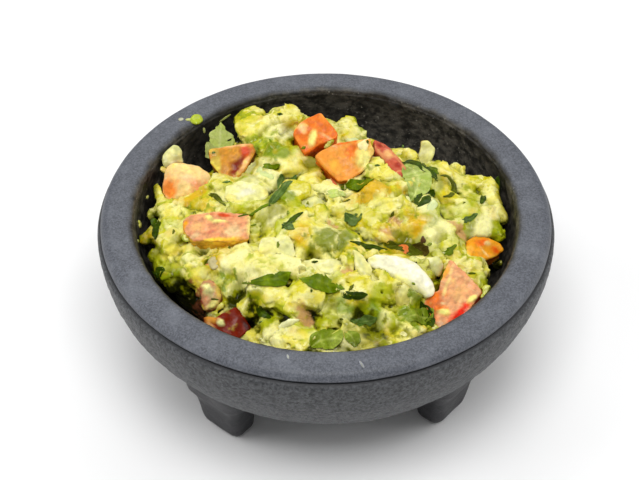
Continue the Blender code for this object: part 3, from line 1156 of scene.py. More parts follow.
HOLLOWS: tuple[Hollow, ...] = tuple(Hollow(*row) for row in (
    (-6, -18.5, 1.8, 4.6), (25, -16, 2.6, 3.2), (21, -14, 4, 1.8), (-20.5, -5, 3.6, 3.2),
    (6, -9, 4, 1.4), (-2, -9, 3, 1.2), (-26, -25, 2.6, 3), (-23, -32, 2, 3.4), (6, -39, 2.4, 3),
    (13, -36, 3.2, 1.6), (23, -36, 2.4, 2.6), (29, -24, 1.8, 3), (10, 6, 1.6, 3.4), (-13, 17, 1.6, 2.4),
    (-2, 20, 3, 1.6), (5, 12, 2.6, 1.2), (38, 3, 2.6, 1.4), (-7, -37, 3, 2), (-2, -30, 3, 1.4),
    (-11, -29, 3, 1.2), (-36, -11, 1.4, 2), (-42, -11, 1.6, 1.6), (-5, -19.5, 1.8, 4),
    (14, -45, 2.4, 2), (16, -35, 2, 2), (40, -9, 2, 1), (-7, -1, 2, 1), (-35, -11, 3, 2.8),
    (-29, -11, 3, 2.8), (-25, 17, 3, 2.4), (16, -42, 3.2, 2), (10, -44, 2.6, 2.4), (24, -38, 2.4, 2.4),
    (-38, -27, 3.6, 4.4), (-43, -22, 2.8, 4), (48, -15, 2.8, 4.4), (9, -41, 2.4, 3), (-50, 17, 3, 5),
))

# Colour patches on the mash: blush, mauve, moss, amber and lemon are the mash's own tints; the
# deep-green patches and the olive ones by the pits are painted shade.
STAINS_AND_PIT_SHADE: tuple[Patch, ...] = tuple(Patch(*row) for row in (
    (4, -26.4, 1.6, 1.2, 0, Tone.BLUSH), (36.3, -8, 3, 1, -40, Tone.BLUSH),
    (15.8, -11.9, 2.2, 1.4, 0, Tone.BLUSH), (18.8, -8, 2, 1.2, 10, Tone.BLUSH),
    (-8.6, -37.6, 1.9, 1.3, -50, Tone.BLUSH), (1.8, -7.9, 1.6, 1.4, 0, Tone.BLUSH),
    (0.4, -15.4, 5.4, 3.6, -5, Tone.MOSS), (24.3, -16.5, 3.4, 2, -20, Tone.OLIVE),
    (22, -12.4, 5.4, 1.4, -10, Tone.OLIVE), (27.1, -21.1, 2, 1.6, 0, Tone.OLIVE),
    (6.3, -39.2, 3.6, 2, -20, Tone.DEEP), (8, -44.4, 5, 2.6, -5, Tone.OLIVE),
    (14.4, -44.2, 4, 2, 5, Tone.OLIVE), (26.3, -30.2, 2.4, 1.6, -30, Tone.LEMON),
    (13.4, -26.5, 3, 1.6, -30, Tone.OLIVE), (20.9, -38.8, 2.6, 3, 0, Tone.GREEN),
    (-18.2, -9.8, 2.4, 1.8, 10, Tone.DEEP), (-37.4, -22, 1.6, 3.4, 5, Tone.MAUVE),
    (-29.2, -21.5, 3, 1.6, 0, Tone.GREEN), (-25.3, -26.3, 3, 1.6, -15, Tone.DEEP),
    (-16.4, 28.1, 3.4, 2.6, 0, Tone.GREEN), (-14.5, 23.5, 2.6, 2.6, 0, Tone.GREEN),
    (14.3, 2.7, 4.4, 3, 10, Tone.AMBER), (-36.6, 10.6, 3.8, 1.2, 10, Tone.AMBER),
))


@dataclass
class Mash:
    """The avocado mash: a core inside the CAD heap, covered by broken lumps, then weathered.

    Rays from drop_from find the heap, and no lump lies where it is steeper than steepest. A dollop
    that falls below the brim goes to the heap's side nearest to the crest's height instead. Mash in
    front of a cut piece is pushed back to it, if the piece lies between look_near and look_to from a
    spot look_from out on the serving side. Those three and the gap are in mm, other lengths in metres.
    """

    count: int = 330
    reach: float = 51.0 * MM
    core_inset: float = 0.35 * MM
    core_voxel: float = 0.9 * MM
    voxel: float = 0.46 * MM
    seed: int = 7
    drop_from: float = 0.08
    steepest: float = 0.25
    brim: float = 38.0 * MM
    crest: float = 46.0 * MM
    underside: float = 33.0 * MM
    hidden: float = 30.0 * MM
    pitted: float = 34.0 * MM
    near_wall: float = 38.0 * MM
    thinned: float = 0.92
    look_from: float = 12.0
    look_near: float = 11.5
    look_to: float = 14.8
    gap: float = 0.5
    wall_gap: float = 0.35 * MM
    tones: list = field(default_factory=list)
    placed: list = field(default_factory=list)

    def moulds(self) -> dict[LumpForm, list[Piece]]:
        """Three lumps of each form, one unit across, to be copied.

        Returns:
            The lumps of each form.
        """
        made: dict[LumpForm, list[Piece]] = {}
        for number, form in enumerate(LumpForm):
            made[form] = []
            for k in range(3):
                lump = primitive("cube", "mould", size=1.0)
                with editing(lump):
                    bpy.ops.mesh.subdivide(number_cuts=4, smoothness=0.6, fractal=0.85,
                                           fractal_along_normal=0.7, seed=11 * number + k)
                    bpy.ops.mesh.vertices_smooth(factor=0.5, repeat=1 if form is LumpForm.SHARD else 2)
                    bpy.ops.transform.resize(value=form.value)
                    bpy.ops.transform.vertex_random(offset=0.05, uniform=1.0, seed=5 * number + k)
                made[form].append(lump)
        return made

    def core(self) -> Piece:
        """The heap itself, a little smaller than its CAD solid.

        Returns:
            The core.
        """
        heap = solid_copy("guacamole", "mash")
        apply_modifier(heap, "REMESH", mode="VOXEL", voxel_size=self.core_voxel)
        apply_modifier(heap, "SMOOTH", factor=0.6, iterations=4)
        points = points_of(heap)
        normals = normals_of(heap)
        move_points(heap, points - normals * self.core_inset)
        return heap

    def lay(
        self, mould: Piece, spot: Vector, up: Vector, size: Vector, yaw: float, tip: float,
    ) -> Piece:
        """A copy of a lump laid on the heap.

        Args:
            mould: What is copied.
            spot: Its middle.
            up: The way its flat side faces.
            size: Its three sizes, in metres.
            yaw: Its heading about up.
            tip: How far it is tipped over, in radians.

        Returns:
            The lump.
        """
        face = up.to_track_quat("Z", "Y").to_matrix().to_4x4()
        place = (
            Matrix.Translation(spot) @ face @ Matrix.Rotation(yaw, 4, "Z")
            @ Matrix.Rotation(tip, 4, "X") @ Matrix.Diagonal((*size, 1.0))
        )
        return copy_piece(mould, "lump", place)

    def build(self, chunks: Sequence[tuple[Piece, "CutPiece"]], bowl: Bowl) -> Piece:
        """Makes the mash around the cut pieces.

        Args:
            chunks: The tomato and onion pieces, whose upper sides stay clear, each with its form.
            bowl: The bowl, whose wall the mash stays inside.

        Returns:
            The mash as one mesh.
        """
        rng = random.Random(self.seed)
        moulds = self.moulds()
        heap = surface_of(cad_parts["guacamole"])
        cover = self._shrunk(chunks)
        lumps = [self.core()]
        for k in range(self.count):
            out = self.reach * math.sqrt((k + 0.5) / self.count)
            turn = k * GOLDEN_TURN
            x = out * math.cos(turn) + rng.uniform(-0.8, 0.8) * MM
            y = out * math.sin(turn) + rng.uniform(-0.8, 0.8) * MM
            start = Vector((x, y, self.drop_from))
            spot, normal, _, _ = heap.ray_cast(start, DOWN)
            form = rng.choices(list(WILD_FORMS), WILD_FORMS.values())[0]
            size = rng.choice(WILD_SIZES) * MM
            pick = rng.randrange(3)
            yaw = 4.0 * math.sin(70.0 * x + 1.0) + 3.0 * math.cos(60.0 * y) + rng.uniform(-0.5, 0.5)
            tip = rng.uniform(-0.5, 0.5)
            rise = rng.uniform(-0.38, 0.10)
            tone = rng.choices(list(WILD_TONES), WILD_TONES.values())[0]
            if spot is None or normal.z < self.steepest:
                continue
            if cover.ray_cast(start, DOWN)[0] is not None:
                continue
            up = (normal + UPRIGHT).normalized()
            middle = spot + up * size * rise
            across = Vector((size, size, size))
            lumps.append(self.lay(moulds[form][pick], middle, up, across, yaw, tip))
            self.tones.append((middle, tone))
        blob = LumpForm.BLOB.value
        for d in DOLLOPS:
            spot, normal, _, _ = heap.ray_cast(Vector((d.x * MM, d.y * MM, self.drop_from)), DOWN)
            if spot is None or spot.z < self.brim:
                spot, normal, _, _ = heap.find_nearest(Vector((d.x * MM, d.y * MM, self.crest)))
            up = (normal + UPRIGHT).normalized()
            middle = spot + up * (d.rise - 0.5) * MM
            mould = moulds[LumpForm.BLOB][int(abs(d.x * 3 + d.y)) % 3]
            size = Vector((d.long / blob[0], d.wide, d.thick / blob[2])) * MM
            lumps.append(self.lay(mould, middle, up, size, math.radians(d.heading), 0.0))
            self.tones.append((middle, d.tone))
            self.placed.append((middle, d.tone))
        for _, cut in chunks:
            self._crowd(cut, moulds, lumps, rng)
        for group in moulds.values():
            for mould in group:
                bpy.data.objects.remove(mould)
        mash = join(lumps, "mash")
        apply_modifier(mash, "REMESH", mode="VOXEL", voxel_size=self.voxel)
        apply_modifier(mash, "SMOOTH", factor=0.5, iterations=2)
        self._thin_underside(mash)
        self._weather(mash, cover, bowl)
        self._paint(mash)
        shade_smooth(mash)
        return mash

    def _crowd(self, cut: "CutPiece", moulds: dict, lumps: list, rng: random.Random) -> None:
        """Presses small lumps against a cut piece's front and side edges.

        Args:
            cut: The tomato or onion piece.
            moulds: The lumps to copy.
            lumps: The list that the new lumps go to.
            rng: The seeded draws.
        """
        place = cut.place()
        up = (place.to_3x3() @ Vector((0.0, 0.0, 1.0))).normalized()
        top = place @ Vector((0.0, 0.0, 0.5 * cut.thick))
        corners = [Vector((x, y, 0.5 * cut.thick)) for x, y in cut.outline]
        for first, second in zip(corners, corners[1:] + corners[:1]):
            for share in (0.0, 0.5):
                spot = place @ first.lerp(second, share)
                out = (spot - top).normalized()
                wanted = rng.random() < cut.film
                size = rng.choice(PRESSED_SIZES) * MM
                form = rng.choice(PRESSED_FORMS)
                tone = rng.choice(PRESSED_TONES)
                tip = rng.uniform(-0.5, 0.5)
                if not wanted or out.y > -0.1:
                    continue
                middle = spot + out * 0.30 * size - up * 0.45 * size
                yaw = math.atan2(out.y, out.x) + 0.5 * math.pi
                across = Vector((size, size, size))
                lumps.append(self.lay(moulds[form][0], middle, up, across, yaw, tip))
                self.tones.append((middle, tone))

    def _thin_underside(self, mash: Piece) -> None:
        """Takes faces out of the hidden underside.

        Args:
            mash: The mash.
        """
        points = points_of(mash)
        normals = normals_of(mash)
        under = (normals[:, 2] < -self.steepest) | (points[:, 2] < self.underside)
        group = mash.vertex_groups.new(name="under")
        group.add(np.nonzero(under)[0].tolist(), 1.0, "REPLACE")
        share = under.mean()
        apply_modifier(mash, "DECIMATE", ratio=1.0 - self.thinned * share, vertex_group="under",
                       vertex_group_factor=8.0)

    @staticmethod
    def _shrunk(chunks: Sequence[tuple[Piece, "CutPiece"]]) -> BVHTree:
        """The cut pieces' surface a little smaller, so that mash laps over their edges.

        Args:
            chunks: The cut pieces, each with its form.

        Returns:
            The tree of their faces.
        """
        parts = []
        grain = Grain(29)
        for piece, cut in chunks:
            points = points_of(piece)
            ragged = grain.swells(points, 2.4 * MM, 2)
            lap = cut.lap * (1.0 + 1.1 * ragged)
            depth = lap + 2.6 * cut.film * held(ragged - 0.30)
            depth = np.clip(depth, 0.05, 2.0) * MM
            parts.append((piece, points - normals_of(piece) * depth[:, None]))
        return tree_of(parts)

    def _weather(self, mash: Piece, cover: BVHTree, bowl: Bowl) -> None:
        """Breaks up the surface, sinks the pits, clears the cut pieces and keeps off the wall.

        Args:
            mash: The mash.
            cover: The cut pieces' surface.
            bowl: The bowl.
        """
        points = points_of(mash)
        normals = pooled(mash, normals_of(mash), 2)
        grain = Grain(3)
        upper = held(normals[:, 2] + 0.5)
        patchy = np.clip(0.65 + 0.9 * grain.at(points + 0.9, 9.0 * MM), 0.25, 1.0)
        warp = np.stack([grain.at(points + k, 3.2 * MM) for k in (0.2, 0.5, 0.7)], 1) * 1.0 * MM
        drawn = grain.drawn(points + warp, 9.0 * MM, 1.9)
        swell = grain.at(points + 0.4, 7.5 * MM) * 0.9
        swell = swell + (grain.folds(drawn + 0.1, 2.6 * MM) - 0.6) * 0.45
        points = points + normals * (swell * patchy * upper * MM)[:, None]
        for size, share, rise in ((5.0, 0.70, 0.70), (2.4, 0.50, 0.14)):
            step, border, _, number = grain.facets(drawn + 0.02 * size, size * MM)
            share = share * upper * patchy * (1.0 - border)
            points = self._flattened(points, normals, number, share)
            raised = (rise * step - 0.5 * rise * border**2) * patchy * upper * MM
            points = points + normals * raised[:, None]
        rough = grain.at(points, 2.4 * MM) * 0.12 + grain.at(points + 0.1, 1.0 * MM) * 0.05
        points = points + normals * (rough * upper * MM)[:, None]
        side = np.array(SERVING_SIDE)
        for h in HOLLOWS:
            near = (points[:, 0] / MM - h.x) ** 2 + (points[:, 1] / MM - h.y) ** 2
            sunk = 1.25 * h.depth * MM * np.exp(-near / h.reach**2)
            points -= side * sunk[:, None] * (points[:, 2] > self.pitted)[:, None]
        cleared = 0
        for index, point in enumerate(points):
            if point[2] < self.hidden:
                continue
            start = Vector(point) + SERVING_SIDE * self.look_from * MM
            hit, _, _, far = cover.ray_cast(start, -SERVING_SIDE, self.look_to * MM)
            if hit is not None and far > self.look_near * MM:
                points[index] = np.array(hit - SERVING_SIDE * self.gap * MM)
                cleared += 1
        log.info("mash: %d vertices cleared from the cut pieces", cleared)
        out = np.hypot(points[:, 0], points[:, 1])
        for index in np.nonzero(out > self.near_wall)[0]:
            limit = bowl.cavity_radius(points[index, 2]) - self.wall_gap
            if points[index, 2] < bowl.rim_height and out[index] > limit:
                points[index, :2] *= limit / out[index]
        move_points(mash, points)

    @staticmethod
    def _flattened(points: Array, normals: Array, number: Array, share: Array) -> Array:
        """Brings each crumb's vertices part of the way onto the crumb's own plane.

        Args:
            points: Places, one row each.
            normals: Their normals.
            number: Each one's crumb.
            share: How far each is moved, 0 to 1.

        Returns:
            The moved places.
        """
        _, crumb, count = np.unique(number, return_inverse=True, return_counts=True)
        middle = np.stack([np.bincount(crumb, column) / count for column in points.T], 1)
        facing = np.stack([np.bincount(crumb, column) / count for column in normals.T], 1)
        facing /= np.maximum(np.linalg.norm(facing, axis=1), 0.2)[:, None]
        above = ((points - middle[crumb]) * facing[crumb]).sum(1)
        above = np.clip(above, -1.6 * MM, 1.6 * MM) * share
        return points - facing[crumb] * above[:, None]

    def _paint(self, mash: Piece) -> None:
        """Tints each vertex from its lump and crumb, with light and shade painted in.

        Bulges and faces turned up to the key light get cream as a painted highlight. Sides turned
        away get greener, and creases and pits get olive, deep green and near black as painted shade.

        Args:
            mash: The mash.
        """
        points = points_of(mash)
        grain = Grain(9)
        warp = np.stack([grain.at(points + k, 2.0 * MM) for k in (0.1, 0.4, 0.8)], 1) * 0.9 * MM
        own = self._nearest(self.tones, points + warp)
        placed = self._nearest(self.placed, points + 1.5 * warp)
        colours = pooled(mash, 0.5 * own + 0.5 * placed, 2)
        bulge = points - pooled(mash, points, 6)
        bulge = np.clip((bulge * pooled(mash, normals_of(mash), 2)).sum(1) / (0.34 * MM), -1.2, 1.2)
        crumbs = Grain(3)
        drawn = crumbs.drawn(points + warp, 8.0 * MM, 1.9)
        skinward, seam, _, _ = crumbs.facets(drawn + 0.6, 2.6 * MM)
        fine = grain.swells(points, 1.8 * MM, 3)
        broad = grain.swells(points + 0.4, 7.0 * MM, 2)
        # Painted light: how far each face turns up towards the key light, so that lit tops come out
        # paler and sides greener.
        facing = pooled(mash, normals_of(mash), 3) @ np.array((-0.03, -0.38, 0.92)) - 0.78
        # Painted shade: how deep each vertex lies below the mash around it, which darkens the pits
        # below.
        sunk = self._hollows(points) / (2.6 * MM)
        hollow = np.clip(sunk * (1.0 + 0.9 * fine) + 0.15 * fine, 0.0, 1.4)
        light = np.clip(1.9 * colours[:, :2].mean(1) - 0.15, 0.25, 1.0)
        # Cream: the flesh's own pale lumps, plus a painted highlight on bulges and on faces turned to
        # the light.
        pale = (
            0.16 + 0.26 * fine - 0.50 * skinward + 0.25 * bulge + 0.9 * facing
            - 0.30 * broad - 0.3 * hollow
        )
        # Greens: the flesh's own greens by the skin, plus painted shade on faces turned from the light
        # and in hollows.
        green = 0.55 * skinward + 0.50 * broad + 0.30 * fine - 0.7 * facing + 0.5 * hollow - 0.22
        yolk = 0.9 * grain.at(points + 0.8, 3.2 * MM) - 0.35
        # Painted shade along the creases between crumbs, where the surface curves in.
        crease = held(0.35 * seam - 0.75 * bulge - 0.15)
        # Olive, deep green and the near-black tone go into creases and pits as painted shade.
        for tone, share, most in (
            (Tone.CREAM, pale * light, 0.85), (Tone.AMBER, yolk, 0.35),
            (Tone.LIME, 1.5 * green, 0.75), (Tone.GREEN, 1.3 * green - 0.40, 0.70),
            (Tone.OLIVE, 0.75 * crease + 0.85 * hollow - 0.12, 0.85),
            (Tone.DEEP, 1.7 * hollow + 0.50 * crease - 0.95, 0.95),
            (Tone.PAINTED_SHADOW, 2.4 * hollow - 2.3, 0.9),
        ):
            colours = blend(colours, tone.rgb, np.clip(share, 0.0, most))
        # Tints and painted shade patches, laid over the colours and spreading along the creases.
        for stain_and_painted_shade in STAINS_AND_PIT_SHADE:
            near = 1.25 - 1.2 * stain_and_painted_shade.out(points[:, :2] / MM) + 1.3 * fine + 0.5 * crease
            colours = blend(colours, stain_and_painted_shade.tone.rgb, np.clip(1.7 * near, 0.0, 0.85))
        paint(mash, "tint", 0.95 * colours)

    @staticmethod
    def _nearest(tones: Sequence[tuple[Vector, Tone]], points: Array) -> Array:
        """The colour of the lump that is nearest to each point.

        Args:
            tones: The lumps' middles and tones.
            points: Places, one row each.

        Returns:
            Linear colours, one row each.
        """
        tree = KDTree(len(tones))
        for index, (middle, _) in enumerate(tones):
            tree.insert(middle, index)
        tree.balance()
        palette = np.array([tone.rgb for _, tone in tones])
        return palette[[tree.find(Vector(p))[1] for p in points]]

    @staticmethod
    def _hollows(points: Array) -> Array:
        """How far each vertex lies below the mash around it, in metres.

        Args:
            points: Places, one row each.

        Returns:
            One depth for each point.
        """
        cell, side, reach = 0.6 * MM, 200, 4
        index = np.clip((points[:, :2] / cell + side / 2).astype(int), 0, side - 1)
        top = np.full((side, side), -1.0)
        np.maximum.at(top, (index[:, 0], index[:, 1]), points[:, 2])
        known = (top > 0).astype(float)
        total = np.where(top > 0, top, 0.0)
        for _ in range(3):
            for axis in (0, 1):
                steps = range(-reach, reach + 1)
                total = sum(np.roll(total, s, axis) for s in steps) / len(steps)
                known = sum(np.roll(known, s, axis) for s in steps) / len(steps)
        around = total / np.maximum(known, 1e-6)
        return around[index[:, 0], index[:, 1]] - points[:, 2]


# ---- cut pieces ---------------------------------------------------------------------------------
class Hue(Shade):
    """The colours on cut tomato and onion, and on the mash that clings to them."""

    PEACH = srgb(236, 178, 112)
    PEACH_PALE = srgb(234, 196, 142)
    CREAM_FILM = srgb(234, 222, 126)
    EMBER = srgb(234, 108, 22)
    FLAME = srgb(226, 114, 36)
    ORANGE = srgb(236, 134, 52)
    TANGERINE = srgb(238, 152, 60)
    HONEY = srgb(240, 168, 62)
    HONEY_PALE = srgb(244, 206, 130)
    AMBER_GEL = srgb(238, 158, 28)
    AMBER_LIT = srgb(255, 198, 54)
    BRICK = srgb(156, 50, 34)
    ROSE = srgb(196, 92, 66)
    STRAW = srgb(202, 174, 70)
    SAND = srgb(196, 134, 46)
    RED = srgb(208, 76, 36)
    CLARET = srgb(126, 38, 14)
    # The next two are tomato reds darkened as painted shade, for a piece deep in the rim's shadow.
    CLARET_IN_PAINTED_SHADE = srgb(72, 10, 0)
    WINE_IN_PAINTED_SHADE = srgb(118, 26, 0)
    CORAL = srgb(240, 160, 106)
    CORAL_DEEP = srgb(206, 124, 90)
    SALMON = srgb(228, 160, 110)
    SCARLET = srgb(222, 34, 3)
    VERMILION = srgb(232, 92, 6)
    MUD = srgb(188, 138, 90)
    IVORY = srgb(240, 236, 200)
    SHEEN = srgb(246, 243, 218)
    PEARL = srgb(230, 226, 150)
    WAN = srgb(228, 222, 140)
    CLEAR = srgb(208, 208, 138)
    GLASS = srgb(196, 186, 96)


@dataclass
class CutPiece:
    """A piece of tomato or onion cut to an outline, in the place of its CAD solid.

    The outline lies in the plane of the cut face. The face has the flesh's colour and its patches,
    the sides have their own colour. Middle, thickness and outline are in mm. The turn is a lean
    towards a heading and a spin about the face, in degrees.
    """

    node: str
    slot: str
    middle: tuple
    thick: float
    turn: tuple
    outline: tuple
    flesh: Hue
    side: Hue
    patches: tuple[Patch, ...] = ()
    veins: Hue = Hue.PEACH_PALE
    edge: float = 0.45
    dome: float = 0.0
    crinkle: float = 0.06
    lap: float = 0.35
    film: float = 0.7
    voxel: float = 0.33

    def place(self) -> Matrix:
        """Where the piece stands.

        Returns:
            The matrix from its own mm to the bowl.
        """
        lean, towards, spin = (math.radians(a) for a in self.turn)
        return (
            Matrix.Translation(Vector(self.middle) * MM) @ Matrix.Rotation(towards, 4, "Z")
            @ Matrix.Rotation(lean, 4, "Y") @ Matrix.Rotation(spin - towards, 4, "Z")
            @ Matrix.Scale(MM, 4)
        )

    def blank(self) -> Piece:
        """The outline drawn down into a block in mm, with its edges broken and its mesh made fine.

        Returns:
            The block.
        """
        corners = len(self.outline)
        piece = primitive("circle", f"{self.node}_cut", vertices=corners, radius=1.0, fill_type="NGON")
        move_points(piece, np.array([(x, y, 0.5 * self.thick) for x, y in self.outline]))
        with editing(piece):
            down = {"value": (0.0, 0.0, -self.thick)}
            bpy.ops.mesh.extrude_region_move(TRANSFORM_OT_translate=down)
            bpy.ops.transform.resize(value=(0.92, 0.92, 1.0), center_override=(0.0, 0.0, 0.0))
            bpy.ops.mesh.select_all(action="SELECT")
            bpy.ops.mesh.normals_make_consistent(inside=False)
            bpy.ops.mesh.bevel(offset=self.edge, segments=2, affect="EDGES")
        apply_modifier(piece, "REMESH", mode="VOXEL", voxel_size=self.voxel)
        apply_modifier(piece, "SMOOTH", factor=0.5, iterations=2)
        return piece

    def build(self) -> Piece:
        """Makes the piece, uneven and tinted.

        Returns:
            The piece in its place.
        """
        piece = self.blank()
        points = points_of(piece)
        normals = normals_of(piece)
        grain = Grain(sum(map(ord, self.node)))
        reach = np.abs(np.array(self.outline)).max(0)
        wave = grain.at(points, 4.2) * 0.34 + grain.at(points + 3.0, 1.7) * 0.20
        wave = wave + grain.at(points + 7.0, 0.8) * self.crinkle
        if self.slot == "onion":
            wave = wave + grain.swells(points + 5.0, 3.0, 2) * 0.35
        ragged = grain.swells(points, 2.0, 3)
        top = held((normals[:, 2] - 0.25) / 0.4)
        flesh = self.flesh.rgb
        colours = blend(flesh, 0.82 * flesh, 0.35 * held(0.5 + 0.45 * ragged))
        spread = points * (0.45, 1.0, 1.0) + 0.5 * ragged[:, None]
        network = held(1.0 - 2.2 * grain.folds(spread, 1.7))
        colours = blend(colours, self.veins.rgb, 0.55 * network)
        rise = np.zeros(len(points))
        for patch in self.patches:
            near = held(1.75 - 1.45 * patch.out(points[:, :2]) + 0.55 * ragged)
            tone = patch.tone.rgb * (1.0 + 0.14 * ragged)[:, None]
            colours = blend(colours, tone, near * (0.3 + 0.7 * top))
            rise = np.maximum(rise, near * patch.rise * (1.0 + 0.8 * ragged) * top)
        edge = held((0.35 - normals[:, 2]) / 0.5)
        colours = blend(colours, self.side.rgb * (1.0 + 0.16 * ragged)[:, None], edge)
        colours *= (1.0 + (0.10 + self.crinkle) * grain.swells(points + 2.0, 1.0, 2))[:, None]
        cling = self._cling(points, ragged, edge)
        mash = Tone.BUTTER.rgb * (1.0 + 0.25 * grain.at(points + 4.0, 1.3))[:, None]
        colours = blend(colours, mash, 0.9 * cling)
        rise = np.maximum(rise, 0.28 * cling)
        middle = (points[:, 0] / reach[0]) ** 2 + (points[:, 1] / reach[1]) ** 2
        arch = self.dome * (1.0 - held(middle))
        points = points + normals * (wave + rise)[:, None]
        points[:, 2] += (arch - 0.5 * self.dome) * held(points[:, 2] / self.thick + 0.5)
        move_points(piece, points)
        paint(piece, "tint", colours)
        piece.data.transform(self.place())
        piece.data.update()
        shade_smooth(piece)
        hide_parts(self.node)
        return piece

    def _cling(self, points: Array, ragged: Array, edge: Array) -> Array:
        """How much mash clings to each point: along the face's front edge and low on the sides.

        Args:
            points: Places on the piece, in mm.
            ragged: Noise at each one.
            edge: How far each is on the sides, 0 to 1.

        Returns:
            A share for each point.
        """
        corners = np.array(self.outline)
        far = np.full(len(points), 99.0)
        for a, b in zip(corners, np.roll(corners, -1, 0)):
            share = held(((points[:, :2] - a) @ (b - a)) / ((b - a) @ (b - a)))
            away = points[:, :2] - a - share[:, None] * (b - a)
            far = np.minimum(far, np.linalg.norm(away, axis=1))
        front = np.array(self.place().to_3x3().inverted() @ Vector((0.0, -1.0, 0.0)))[:2]
        size = np.linalg.norm(front) * np.abs(corners).max()
        towards = held(0.5 + 0.5 * (points[:, :2] @ front) / size)
        rim = held(1.0 - far / 2.2) * (0.25 + 0.75 * towards)
        low = held(0.5 - points[:, 2] / self.thick)
        share = rim * (1.0 - edge) + 1.3 * low * edge
        return held(2.2 * (share * self.film + 0.45 * ragged - 0.40))


